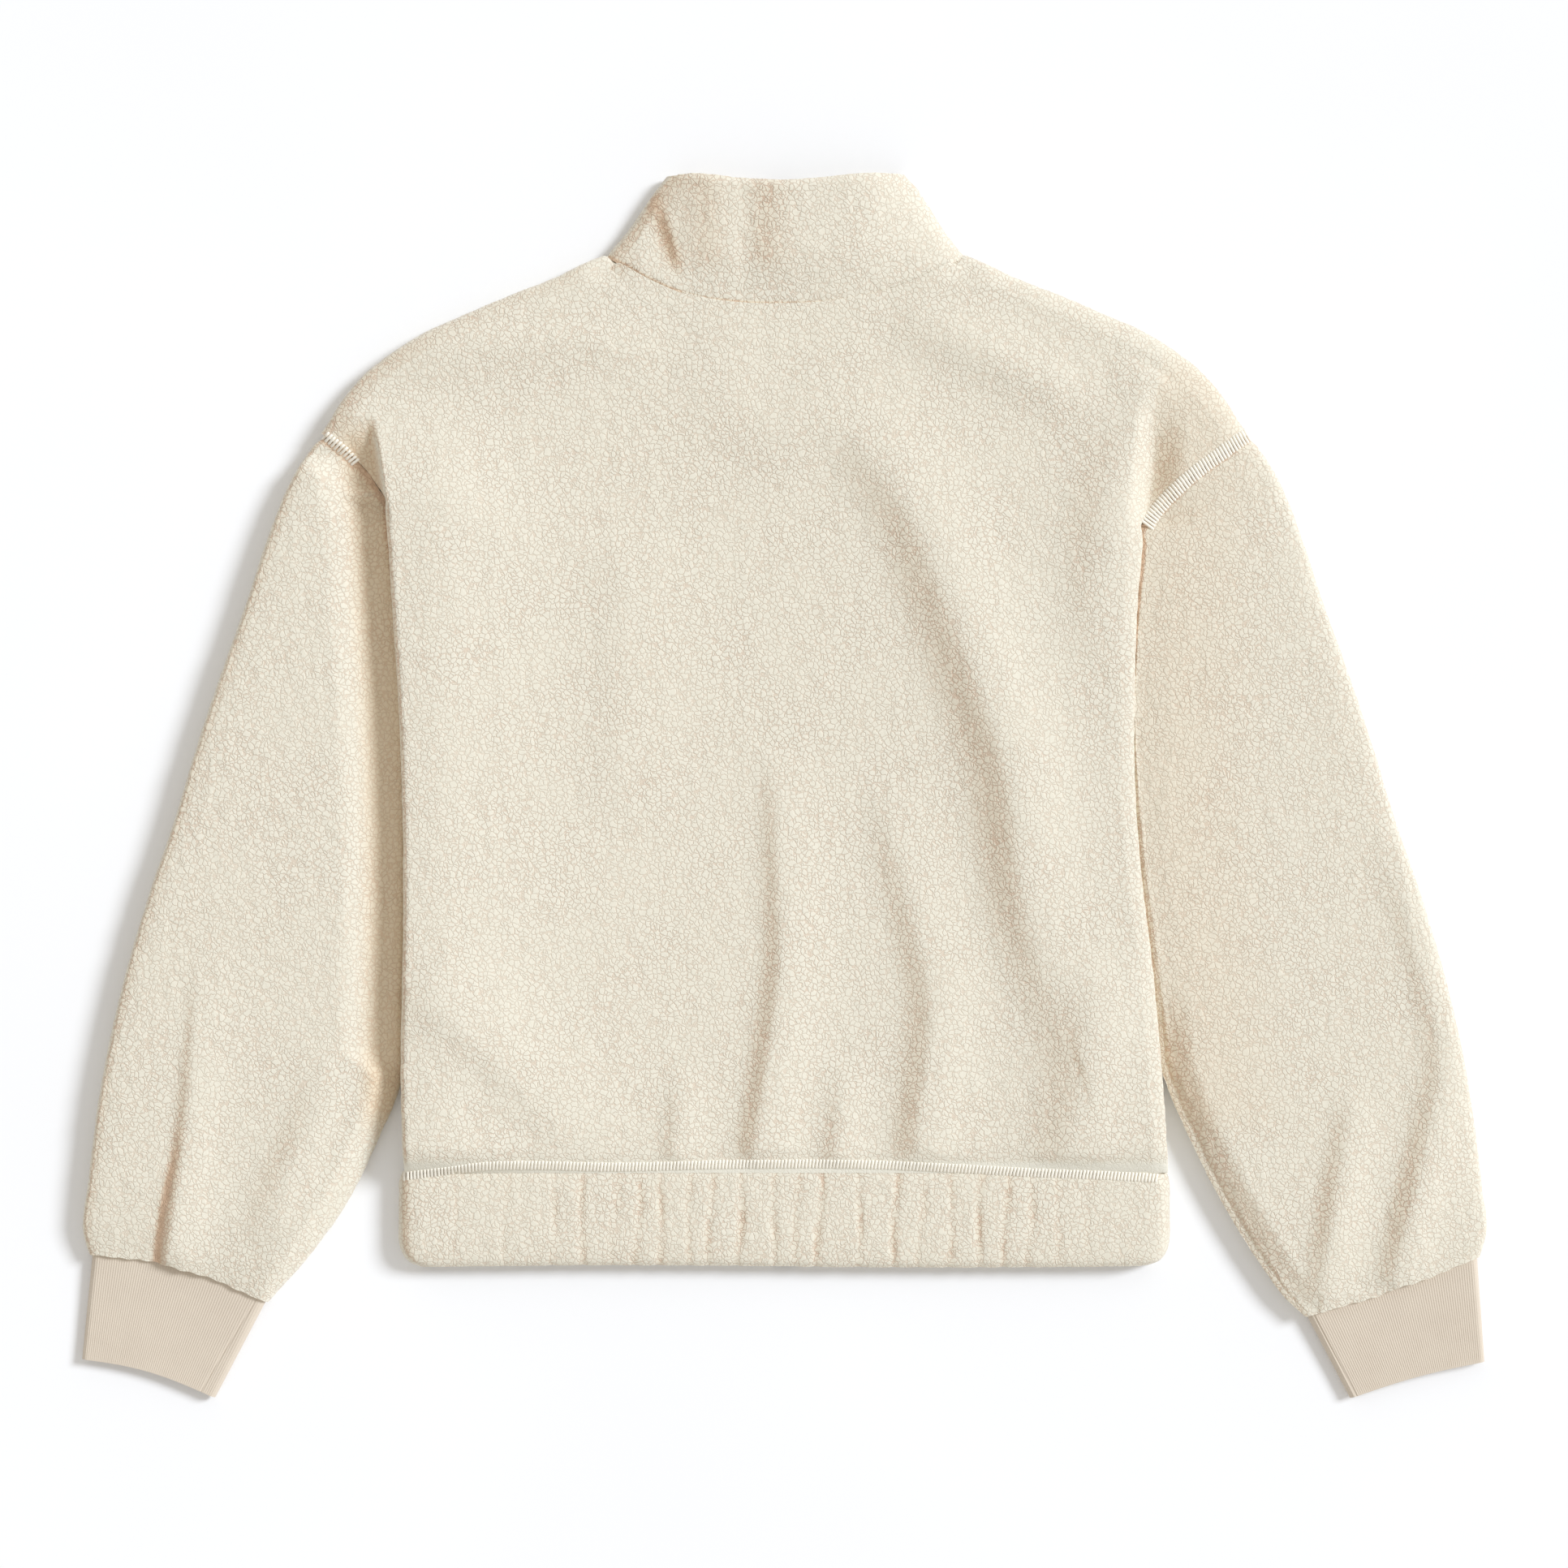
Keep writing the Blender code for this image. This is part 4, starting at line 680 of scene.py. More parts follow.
def sleeve_points(side, top_count, rings):
    """Outer points of a sleeve: rings from the armhole to the cuff seam, closed round the arm."""
    seam, armhole_y, edge = armhole_line(side)
    length = np.concatenate(([0], np.cumsum(np.hypot(np.diff(seam), np.diff(armhole_y)))))
    t = (np.linspace(0, 1, rings) ** 0.95)[:, None]
    outer_y = spline(t, SLEEVE_RING[side], 1)
    inner_y = spline(t, SLEEVE_RING[side], 2)
    bow = np.maximum(spline(t, SLEEVE_RING[side], 3), 0)
    outer_x = spline(outer_y, SLEEVE_OUTER)
    inner_x = inner_limit(inner_y, side)
    start = np.clip(1 - t * rings / 3, 0, 1)
    outer_x = outer_x + start * (seam[0] - spline(armhole_y[0], SLEEVE_OUTER))
    width = np.hypot(inner_x - outer_x, inner_y - outer_y)
    even = np.linspace(0, 1, top_count)
    top_s = even - 0.7 * np.sin(2 * np.pi * even) / (2 * np.pi)
    low_s = np.concatenate((1 - LOW_INNER_END[:, 0] / SLEEVE_WIDTH,
                            np.linspace(0.92, 0.06, SLEEVE_LOW_COLUMNS),
                            LOW_OUTER_END[:, 0] / SLEEVE_WIDTH))
    low_z = np.concatenate((LOW_INNER_END[:, 1], np.zeros(SLEEVE_LOW_COLUMNS),
                            LOW_OUTER_END[:, 1]))
    s = np.broadcast_to(np.concatenate((top_s, low_s)), (rings, top_count + len(low_s)))
    seam_x = np.interp(s * length[-1], length, seam)
    seam_y = np.interp(s * length[-1], length, armhole_y)
    chord_x = seam[0] * (1 - s) + s * seam[-1]
    chord_y = armhole_y[0] * (1 - s) + s * armhole_y[-1]
    arch = CUFF_SEAM_BOW[side] * np.sin(np.pi * s) * ease((t - 0.8) / 0.2)
    tucks = 0.5 + 0.5 * np.sin(s * 23 + side) * np.sin(s * 41 + 2)
    arch = arch - TUCK_DEPTH * tucks * np.sin(np.pi * s) * ease((t - 0.96) / 0.04)
    x = side * (outer_x + s * (inner_x - outer_x) + bow * (seam_x - chord_x))
    y = outer_y + s * (inner_y - outer_y) + bow * (seam_y - chord_y) + arch
    top = shoulder_valley(x, y, spline(t, SLEEVE_HEIGHT), side)
    fade = ease(t / 0.15) * ease((1.03 - t) / 0.05)
    top = top + fade * fold_height(x, y, SLEEVE_FOLDS[side])
    at_back = np.interp(y, edge[:, 1], edge[:, 2])
    meets = np.clip(1 - t / 0.045, 0, 1) * ease((y - ARMHOLE[side][0][0] + 4) / 8)
    top = top + meets * (at_back - top)
    span = width + start * (length[-1] - width)
    top = top - ARMHOLE_GROOVE * np.exp(-(t * rings / 1.3) ** 2)
    top = top * spline(s * span, OUTER_ROUND)
    lip = (1 - s) * span
    cap = lip_height(y, side) + 0.6 * np.maximum(lip - 3.5, 0)
    capped = np.minimum(top, cap) * spline(lip, INNER_ROUND[side])
    top = np.where(lip < 12, capped, top)
    z = top
    z[:, top_count:] = low_z
    return np.stack((x, y, z), axis=-1)


def pleat_painted_shade(x, y):
    """Painted shade in the deep pleat above the left cuff, from 0 to 1."""
    pleat = spline(y, ((-275, -364), (-249, -360), (-215, -353), (-180, -347)))
    return np.exp(-((x - pleat) / 2.2) ** 2) * ease((-190 - y) / 50)


sleeves = {}
for side_name, side in (("left", LEFT), ("right", RIGHT)):
    sleeve_grid = sleeve_points(side, SLEEVE_TOP_COLUMNS, SLEEVE_RINGS)
    sleeve_depth = wall_depth(sleeve_grid, SLEEVE_TURNS)
    on_top = sleeve_grid[..., 2] > 6
    # painted shade in the pleat above the left cuff, along the armhole seam's first two rings and
    # in the valley beside the body, with more nap in the pleat and at the seam
    pleat = pleat_painted_shade(sleeve_grid[..., 0], sleeve_grid[..., 1]) * on_top
    pleat[:2] = np.maximum(pleat[:2], on_top[:2])
    blush = valley_painted_shade(sleeve_grid[..., 0], sleeve_grid[..., 1]) * on_top
    blush = np.clip(blush + pleat, 0, 1)
    sleeve = cloth(f"sleeve_{side_name}_cloth", sleeve_grid, sleeve_depth, True, 1 + 1.3 * pleat,
                   blush=blush)
    sleeve.data.materials.append(fleece)
    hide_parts(f"sleeve_{side_name}")
    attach(sleeve, "jacket")
    sleeves[side] = sleeve

# The collar: a stand collar of fleece lying flat, with its side edges folded under to the front.
# Its lower edge is sewn to the back's neckline and to the fronts.
COLLAR_SIDE = (
    (306, 103.5, 104.5), (311, 99.5, 100), (322.5, 89.8, 91.2), (334, 82.2, 84),
    (345, 74.3, 76.5), (353, 68, 69),
)
COLLAR_TOP = ((-70, 352.5), (-50, 353.2), (-31, 351), (-12, 349.6), (6, 349.2), (25, 351),
              (44, 353), (70, 353.5))
# y of the seam and of the top at the folded side edges, y of the top at the centre front
COLLAR_BASE_Y, COLLAR_FOLD_Y, COLLAR_FRONT_TOP_Y = 306.2, 352.5, 347.0
# how far the collar's seam lies below the edge of the back
COLLAR_TUCK = 1.6
COLLAR_HEIGHT = (
    (-104, 16.5), (-62, 16.8), (-52, 18), (-40, 19.4), (-33, 19.4), (-24, 19.0), (-3, 21.2),
    (22, 21.2), (50, 20), (66, 17.5), (84, 15), (104, 13),
)
# x of the crease left of the middle at the seam, and how far it leans to the left further up
COLLAR_CREASE, CREASE_LEAN, CREASE_DROP = -58.0, 23.0, 3.2
FRONT_NECKLINE = ((0, 258), (30, 262), (60, 275), (85, 292), (104, 306))
CHANNEL_HALF = 6.0
# inset of the folded edge and its height, from the underside to the top
COLLAR_RISE = ((0, 6.0, 0.0), (1, 0.8, 3.0), (2, 0.0, 6.5), (3, 2.4, 10.3), (4, 7.0, 13.0))


def collar_points(rows, top_count):
    """Outer points of the collar, from one front end round the back to the other."""
    up = np.linspace(0, 1, rows)[:, None]
    y_fold = COLLAR_BASE_Y + up * (COLLAR_FOLD_Y - COLLAR_BASE_Y)
    half = {side: spline(y_fold, COLLAR_SIDE, side_column(side)) for side in (LEFT, RIGHT)}
    turn = np.linspace(0, 4, 17)[:-1]
    parts = []
    for side in (LEFT, RIGHT):
        low_x = np.concatenate((np.full((rows, 1), CHANNEL_HALF),
                                np.linspace(0.12, 0.9, 12) * half[side]), axis=1)
        rise_x = half[side] - spline(turn, COLLAR_RISE, 1)
        x = np.concatenate((low_x, rise_x), axis=1)
        z = np.concatenate((np.zeros(low_x.shape), np.broadcast_to(spline(turn, COLLAR_RISE, 2),
                                                                   rise_x.shape)), axis=1)
        at_seam = x * NECK_HALF / half[side]
        front = spline(at_seam, FRONT_NECKLINE) + 0.3
        rear = spline(side * at_seam, NECKLINE) - COLLAR_TUCK
        low = front + ease((z - 5) / 5) * (rear - front)
        fold_top = COLLAR_TOP[0 if side == LEFT else -1][1]
        high = COLLAR_FRONT_TOP_Y + (fold_top - COLLAR_FRONT_TOP_Y) * ease(x / half[side])
        parts.append(np.stack((side * x, low + up * (high - low), z), axis=-1))
    across = np.linspace(0, 1, top_count)[None, :]
    left_x, right_x = 7.0 - half[LEFT], half[RIGHT] - 7.0
    x = left_x + (right_x - left_x) * across
    wide = np.where(x < 0, half[LEFT], half[RIGHT])
    low = spline(x * NECK_HALF / wide, NECKLINE) - COLLAR_TUCK
    high = spline(x * 69.0 / wide, COLLAR_TOP)
    y = low + up * (high - low)
    shape = spline(x, COLLAR_HEIGHT)
    shape = shape - CREASE_DROP * ease((COLLAR_CREASE - CREASE_LEAN * up + 4 - x) / 9)
    at_seam = back_height(x, y)
    z = at_seam + (shape - at_seam) * ease(up / 0.45) - 0.9 * np.exp(-(up / 0.04) ** 2)
    top_round = ease((1.06 - up) / 0.12)
    z = z * (0.72 + 0.28 * top_round)
    edge = COLLAR_RISE[-1][2]
    near = np.exp(-np.minimum(x - left_x, right_x - x) / 7.0)
    z = z + near * (edge * z / np.maximum(z, 13.0) - z)
    return np.concatenate((parts[0], np.stack((x, y, z), axis=-1), parts[1][:, ::-1]), axis=1)


def crease_painted_shade(x, y):
    """Painted shade in the collar's crease and in its hollow near the middle."""
    up = (y - 285) / 65
    crease = np.exp(-((x - COLLAR_CREASE + CREASE_LEAN * up) / 5.0) ** 2)
    hollow = 0.2 * np.exp(-((x + 10) / 12.0) ** 2) + 0.2 * np.exp(-((x + 44) / 10.0) ** 2)
    return (0.6 * crease + hollow) * ease((y - 292) / 14)


COLLAR_ROWS, COLLAR_TOP_COLUMNS, COLLAR_TURNS = 46, 130, ((12, 32), (-32, -12))
collar_grid = collar_points(COLLAR_ROWS, COLLAR_TOP_COLUMNS)
collar_depth = wall_depth(collar_grid, COLLAR_TURNS)
# painted shade in the collar's crease and hollow, with more nap there
collar_painted_shade = crease_painted_shade(collar_grid[..., 0], collar_grid[..., 1]) * (collar_grid[..., 2] > 8)
# painted shade along the neck seam, stronger to the left
seam_shade = ease((50 - collar_grid[0, :, 0]) / 90) * (collar_grid[0, :, 2] > 8)
collar_painted_shade[:2] = np.maximum(collar_painted_shade[:2], 0.9 * seam_shade)
collar = cloth("collar_cloth", collar_grid, collar_depth, False, 1 + 0.7 * collar_painted_shade,
               blush=collar_painted_shade)
collar.data.materials.append(fleece)
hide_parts("collar")
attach(collar, "jacket")

# The hem band: a casing of the same fleece folded over elastic, which gathers it. It is sewn to
# the back and the fronts along its upper edge and runs round both side edges.
HEM_BAND_SIDE = {LEFT: 224.0, RIGHT: 223.5}
HEM_BAND_HEIGHT = 15.0
# y from the seam down, inset of the side edge, height lost on top
HEM_BAND_ROW = (
    (0.0, 2.0, 0.6), (-6.0, 0.3, 0.1), (-20.0, 0.0, 0.0), (-37.0, 0.0, 0.0), (-46.0, 1.8, 0.5),
    (-51.5, 5.5, 1.6), (-54.5, 12.0, 4.0),
)
# x of the troughs between the gathers, with their depth
GATHERS = (
    (-190, 0.4), (-160, 0.5), (-133, 0.9), (-116, 1.3), (-97, 0.7), (-84, 1.2), (-71, 1.5),
    (-54, 1.0), (-42, 1.2), (-25, 1.7), (-5, 1.2), (8, 1.0), (21, 1.6), (44, 1.3), (65, 1.7),
    (80, 0.9), (97, 1.2), (114, 1.7), (129, 1.4), (143, 1.0), (159, 0.7), (177, 0.5),
)
# half width of a trough, and of the groove in its pile
GATHER_WIDTH, GROOVE_WIDTH = 2.3, 1.5
# inset of the folded side edge and its height
BAND_RISE = ((0, 10.0, 0.0), (1, 5.0, 0.0), (2, 0.9, 3.2), (3, 0.0, 7.5), (4, 2.2, 11.8),
             (5, 6.5, 14.3), (6, 14.0, 15.0))
# columns of the front half before its edge turns, columns and rows that turn, their thickness
FRONT_COLUMNS, BAND_TURNS, LOW_BAND_ROWS, FOLDED_BAND = 21, ((21, 50), (-50, -21)), 12, 2.2


def gather_depth(x, down, width, steady, swing):
    """Depth of the troughs between the gathers, which sway and vary down the band."""
    sway = 1.2 * np.sin(down / 13.0 + x / 9.0)
    return sum(trough * (steady + swing * np.sin(down / 6.0 + centre))
               * np.exp(-((x - centre - down * 0.04 - sway) / width) ** 2)
               for centre, trough in GATHERS)


def hem_band_points(rows, top_count):
    """Outer points of the hem band, from one front end round to the other."""
    step = np.linspace(0, len(HEM_BAND_ROW) - 1, rows)[:, None]
    rowed = [(number, *row) for number, row in enumerate(HEM_BAND_ROW)]
    down = spline(step, rowed, 1)
    inset = np.maximum(spline(step, rowed, 2), 0)
    lost = np.maximum(spline(step, rowed, 3), 0)
    turn = np.linspace(0, 6, 25)
    rise_in, rise_z = spline(turn, BAND_RISE, 1), spline(turn, BAND_RISE, 2)
    low_x = np.concatenate(([CHANNEL_HALF], np.linspace(20, 208, FRONT_COLUMNS - 1)))
    left, right = -(HEM_BAND_SIDE[LEFT] - 14.0), HEM_BAND_SIDE[RIGHT] - 14.0
    x = np.concatenate((-low_x, -(HEM_BAND_SIDE[LEFT] - rise_in[:-1]),
                        np.linspace(left, right, top_count),
                        (HEM_BAND_SIDE[RIGHT] - rise_in[:-1])[::-1], low_x[::-1]))[None, :]
    z = np.concatenate((np.zeros(FRONT_COLUMNS), rise_z[:-1], np.full(top_count, HEM_BAND_HEIGHT),
                        rise_z[:-1][::-1], np.zeros(FRONT_COLUMNS)))[None, :]
    at_side = ease((np.abs(x) - 196) / 20)
    y = HEM_SEAM_Y - 0.05 + down * (1 + 0.012 * np.sin(x / 60))
    gathers = gather_depth(x, down, GATHER_WIDTH, 0.8, 0.2)
    held = 0.5 + 0.5 * np.sin(np.pi * np.clip(-down / 56.0, 0, 1))
    z = z * (HEM_BAND_HEIGHT - lost) / HEM_BAND_HEIGHT
    z = z - np.where(z > 0.6 * HEM_BAND_HEIGHT, 0.55 * gathers * held, 0)
    y = y + np.where(z > 3, 0.35 * gathers * np.clip(-down / 50, 0, 1) ** 3, 0)
    x = x - np.sign(x) * inset * at_side
    return np.stack(np.broadcast_arrays(x, y, z), axis=-1)


BAND_ROWS, BAND_TOP_COLUMNS = 44, 360
band_grid = hem_band_points(BAND_ROWS, BAND_TOP_COLUMNS)
band_depth = wall_depth(band_grid, BAND_TURNS, FOLDED_BAND)
band_depth[-LOW_BAND_ROWS:] = FOLDED_BAND
grooves = gather_depth(band_grid[..., 0], band_grid[..., 1] - HEM_SEAM_Y, GROOVE_WIDTH, 0.7, 0.3)
# painted shade in the grooves between the gathers, with more nap there
band_painted_shade = np.clip(0.2 * grooves, 0, 1) * (band_grid[..., 2] > 10)
hem_band = cloth("hem_band_cloth", band_grid, band_depth, False, 1 + band_painted_shade, amount=0.8,
                 blush=band_painted_shade)
hem_band.data.materials.append(fleece)
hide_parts("hem_band")
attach(hem_band, "jacket")

# The two cuffs: tubes of fine rib knit lying flat, sewn to the sleeves' ends with their ribs
# along the arm. The knit is thinner and smoother than the fleece.
RIB_KNIT = 1.6
CUFF_HEIGHT, CUFF_SWELL = 6.6, 1.6
CUFF_RIBS, RIB_DEPTH = 70, 0.11
# columns of the grid across a rib, its rows down a cuff, and those of the underside
RIB_COLUMNS, CUFF_ROWS, CUFF_LOW_COLUMNS = 6, 60, 28
# share of the way across over which a folded edge is round
CUFF_ROUND = 0.045
# share of the way across at which the cuff's own seam shows, at the sleeve and at the opening
CUFF_SEAM_AT = {LEFT: (0.955, 0.895), RIGHT: (0.968, 0.955)}
# outer and inner end of the cuff's open edge
CUFF_OPENING = {
    LEFT: ((-408.5, -334), (-331, -356.5)),
    RIGHT: ((406.8, -335.5), (328.5, -356.8)),
}
CUFF_EDGE_BOW = {LEFT: 4.0, RIGHT: 2.0}


def cuff_points(side, per_rib, rows):
    """Outer points of a cuff, closed round the wrist, with its ribs."""
    outer_y, inner_y = SLEEVE_RING[side][-1][1:3]
    outer_x, inner_x = spline(outer_y, SLEEVE_OUTER), inner_limit(np.array(inner_y), side)
    down = np.linspace(0, 1, rows)[:, None]
    top = np.linspace(0, 1, CUFF_RIBS * per_rib)[None, :]
    low = np.linspace(1, 0, CUFF_LOW_COLUMNS + 2)[None, 1:-1]
    along = np.concatenate((top, low), axis=1)
    on_sleeve = 0.015 + 0.97 * along
    start_x = side * (outer_x + on_sleeve * (inner_x - outer_x))
    start_y = outer_y + on_sleeve * (inner_y - outer_y)
    start_y = start_y + CUFF_SEAM_BOW[side] * np.sin(np.pi * on_sleeve) - 0.3
    (ox, oy), (ix, iy) = CUFF_OPENING[side]
    end_x = ox + along * (ix - ox)
    end_y = oy + along * (iy - oy) + CUFF_EDGE_BOW[side] * np.sin(np.pi * along)
    x = start_x + down * (end_x - start_x)
    y = start_y + down * (end_y - start_y)
    edge = np.minimum(top, 1 - top)
    height = CUFF_HEIGHT + CUFF_SWELL * (1 - down) ** 2
    arc = np.sqrt(np.clip(1 - (1 - edge / CUFF_ROUND).clip(0, 1) ** 2, 0, 1))
    rib = RIB_DEPTH * np.cos(2 * np.pi * CUFF_RIBS * top) * ease(edge / 0.03)
    rib = rib * ease(down / 0.04) * ease((1 - down) / 0.03)
    seam_start, seam_end = CUFF_SEAM_AT[side]
    seam = seam_start + (seam_end - seam_start) * down
    rib = rib - 0.4 * np.exp(-((top - seam) / 0.006) ** 2)
    z_top = 0.5 * CUFF_HEIGHT + (height - 0.5 * CUFF_HEIGHT + rib) * arc
    edge = np.minimum(low, 1 - low)
    z_low = 0.5 * CUFF_HEIGHT * (1 - np.sqrt(1 - (1 - edge / CUFF_ROUND).clip(0, 1) ** 2))
    z = np.concatenate((z_top, np.broadcast_to(z_low, (rows, low.shape[1]))), axis=1)
    return np.stack((x, y, z), axis=-1)


def rib_finish(name, dark, light):
    """Fine rib knit: smooth yarn, with painted shade a little darker between the ribs."""
    finish = Finish(name, Roughness=0.85, Sheen_Weight=0.2, Sheen_Roughness=0.5,
                    Specular_IOR_Level=0.2)
    yarn = finish.clouds(finish.place, 1400.0, Detail=2.0)
    patches = finish.clouds(finish.place, 60.0, Detail=2.0)
    knit = finish.node("ShaderNodeAttribute", {"attribute_name": "nap"}, {}, "Fac")
    # painted shade: the knit is darker where it lies between two ribs
    tone = 0.24 + knit * 0.16 + yarn * 0.3 + (patches - 0.5) * 0.3
    finish.coat(finish.ramp(tone, (0.15, dark), (0.75, light)), yarn, 0.5, 0.0003)
    return finish.material


RIB_DARK = (0.62, 0.53, 0.43)
RIB_LIGHT = (0.75, 0.66, 0.54)
rib_knit = rib_finish("rib_knit_yarn", RIB_DARK, RIB_LIGHT)
# the knit's nap, on which its colour depends: 1 on a rib and 0 between two ribs,
# where the darker colour is painted shade
ridge = 0.5 + 0.5 * np.cos(2 * np.pi * np.arange(CUFF_RIBS * RIB_COLUMNS) / RIB_COLUMNS)
ridge = np.concatenate((ridge, np.full(CUFF_LOW_COLUMNS, 0.5)))
for side_name, side in (("left", LEFT), ("right", RIGHT)):
    cuff_grid = cuff_points(side, RIB_COLUMNS, CUFF_ROWS)
    cuff = cloth(f"cuff_{side_name}_cloth", cuff_grid, RIB_KNIT, True, ridge, coarse=4,
                 amount=0.15)
    cuff.data.materials.append(rib_knit)
    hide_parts(f"cuff_{side_name}")
    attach(cuff, "jacket")

# The cover stitching: light thread that runs to and fro over the armhole seams and the hem seam
# and presses the pile flat under it.
# radius and slant of a thread as shares of the spacing, its lift over the pile, its dip at the
# ends, and the places of its points as shares of the stitching's half width
THREAD_SHARE, THREAD_SLANT, THREAD_LIFT, THREAD_DIP = 0.42, 0.22, 0.25, 0.5
THREAD_POINTS = np.array((-1.0, -0.8, -0.3, 0.3, 0.8, 1.0))
# x, y along each seam, half the width of the stitching, spacing of the threads
SEAMS = {
    "hem": (((-221, -227), (-193, -223.3), (-171, -220.5), (-141, -220.3), (-96, -221.4),
             (-36, -220), (20, -219.6), (60, -220.4), (100.6, -222.3), (141, -224.7),
             (181, -226.2), (216, -228)), 2.6, 2.0),
    "armhole_left": (((-266.5, 202), (-256, 193.5), (-248.5, 186)), 2.9, 2.1),
    "armhole_right": (((268.5, 202.5), (253, 191.5), (238, 180.5), (225.6, 169.5), (215, 158),
                       (209.2, 149)), 4.3, 2.0),
}


def surface_tree(pieces):
    """Tree for finding the upper surface of some pieces."""
    points, faces = [], []
    for piece in pieces:
        start = len(points)
        points += [point.co.copy() for point in piece.data.vertices]
        faces += [[start + number for number in face.vertices] for face in piece.data.polygons]
    return BVHTree.FromPolygons(points, faces)


def thread_tube(path, radius, sides=6):
    """Vertices and faces of a thread along a path, closed at both ends."""
    path = np.asarray(path)
    along = np.gradient(path, axis=0)
    along = along / np.linalg.norm(along, axis=1, keepdims=True)
    flat = np.cross(along, (0, 0, 1.0))
    flat = flat / np.linalg.norm(flat, axis=1, keepdims=True)
    rise = np.cross(flat, along)
    turns = np.linspace(0, 2 * np.pi, sides, endpoint=False)
    rings = [point + radius * (np.cos(turns)[:, None] * a + 0.6 * np.sin(turns)[:, None] * b)
             for point, a, b in zip(path, flat, rise)]
    numbers = np.arange(len(path) * sides).reshape(len(path), sides)
    faces = grid_quads(numbers, True)
    faces += [numbers[0][::-1].tolist(), numbers[-1].tolist()]
    return np.concatenate(rings), faces


surface = surface_tree([back, hem_band, collar, *sleeves.values()])


def surface_height(x, y):
    """Height of the cloth under a plan point, in millimetres."""
    start = (Vector((x, y, 60.0)) - Vector(CENTRE)) * MM
    hit = surface.ray_cast(start, Vector((0, 0, -1)))[0]
    return hit.z / MM if hit else 4.0


def cover_stitching(name, line, half_width, spacing):
    """One row of cover stitching along a seam."""
    steps = [(number, *point) for number, point in enumerate(line)]
    fine = np.linspace(0, len(line) - 1, 40 * len(line))
    x, y = spline(fine, steps, 1), spline(fine, steps, 2)
    length = np.concatenate(([0], np.cumsum(np.hypot(np.diff(x), np.diff(y)))))
    count = int(length[-1] / spacing)
    points, faces = [], []
    for stitch in range(count):
        at = (stitch + 0.5) * length[-1] / count
        place = np.array((np.interp(at, length, x), np.interp(at, length, y)))
        ahead = np.array((np.interp(at + 0.5, length, x), np.interp(at + 0.5, length, y)))
        behind = np.array((np.interp(at - 0.5, length, x), np.interp(at - 0.5, length, y)))
        along = (ahead - behind) / np.linalg.norm(ahead - behind)
        across = np.array((-along[1], along[0]))
        sway = noise.noise(Vector((at / 3.1, len(line), 0.0)))
        spots = place + np.outer(THREAD_POINTS, across) * half_width * (1 + 0.12 * sway)
        spots = spots + np.outer(THREAD_POINTS, along) * THREAD_SLANT * spacing
        heights = np.array([surface_height(*spot) for spot in spots])
        level = heights[1] + (heights[4] - heights[1]) * (THREAD_POINTS + 0.8) / 1.6
        heights[1:-1] = np.maximum(heights, level)[1:-1] + THREAD_LIFT
        heights[[0, -1]] -= THREAD_DIP
        path = np.column_stack((spots, heights))
        tube, quads = thread_tube(path, THREAD_SHARE * spacing * (1 + 0.1 * sway))
        quads = [[number + len(points) for number in quad] for quad in quads]
        points += tube.tolist()
        faces += quads
    piece = add_piece(name, points, faces)
    piece.data.shade_smooth()
    return piece


def thread_finish(name, dark, light):
    """Soft polyester thread with its twist."""
    finish = Finish(name, Roughness=0.7, Sheen_Weight=0.2, Specular_IOR_Level=0.3)
    twist = finish.clouds(finish.place, 900.0, Detail=2.0)
    finish.coat(finish.ramp(twist, (0.3, dark), (0.7, light)), twist, 0.4, 0.0002)
    return finish.material


thread = thread_finish("stitching_thread", (0.91, 0.85, 0.73), (0.96, 0.92, 0.82))
for seam_name, (line, half_width, spacing) in SEAMS.items():
    stitching = cover_stitching(f"stitching_{seam_name}", line, half_width, spacing)
    stitching.data.materials.append(thread)
    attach(stitching, "jacket")

# The front zip: two woven tapes sewn under the fronts' edges, with moulded teeth that meet in
# the middle. It shows only from below, in the channel between the fronts.
TAPE_HALF, TAPE_IN_BAND_HALF = 13.0, 5.6
TAPE_BOTTOM, TAPE_TOP = 4.3, 4.9
ZIP_BOTTOM_Y, ZIP_TOP_Y = -270.0, 340.0
TOOTH_SIZE, TOOTH_BEVEL = (3.4, 1.3, 0.9), 0.25
# spacing of one tape's teeth along the zip, of the two tapes' rows across it, and their height
TOOTH_PITCH, TEETH_APART, TOOTH_Z = 2.6, 1.4, 3.9


def zip_tape():
    """The two tapes as one strip, narrower inside the hem band."""
    sections = ((ZIP_TOP_Y, TAPE_HALF), (HEM_SEAM_Y + 0.6, TAPE_HALF),
                (HEM_SEAM_Y, TAPE_IN_BAND_HALF), (ZIP_BOTTOM_Y, TAPE_IN_BAND_HALF))
    points = []
    for y, half in sections:
        ring = ((-half, TAPE_BOTTOM), (half, TAPE_BOTTOM), (half, TAPE_TOP), (-half, TAPE_TOP))
        points += [(x, y, z) for x, z in ring]
    numbers = np.arange(len(points)).reshape(-1, 4)
    faces = grid_quads(numbers, True) + [numbers[0].tolist(), numbers[-1][::-1].tolist()]
    return add_piece("zip_tape", points, faces)


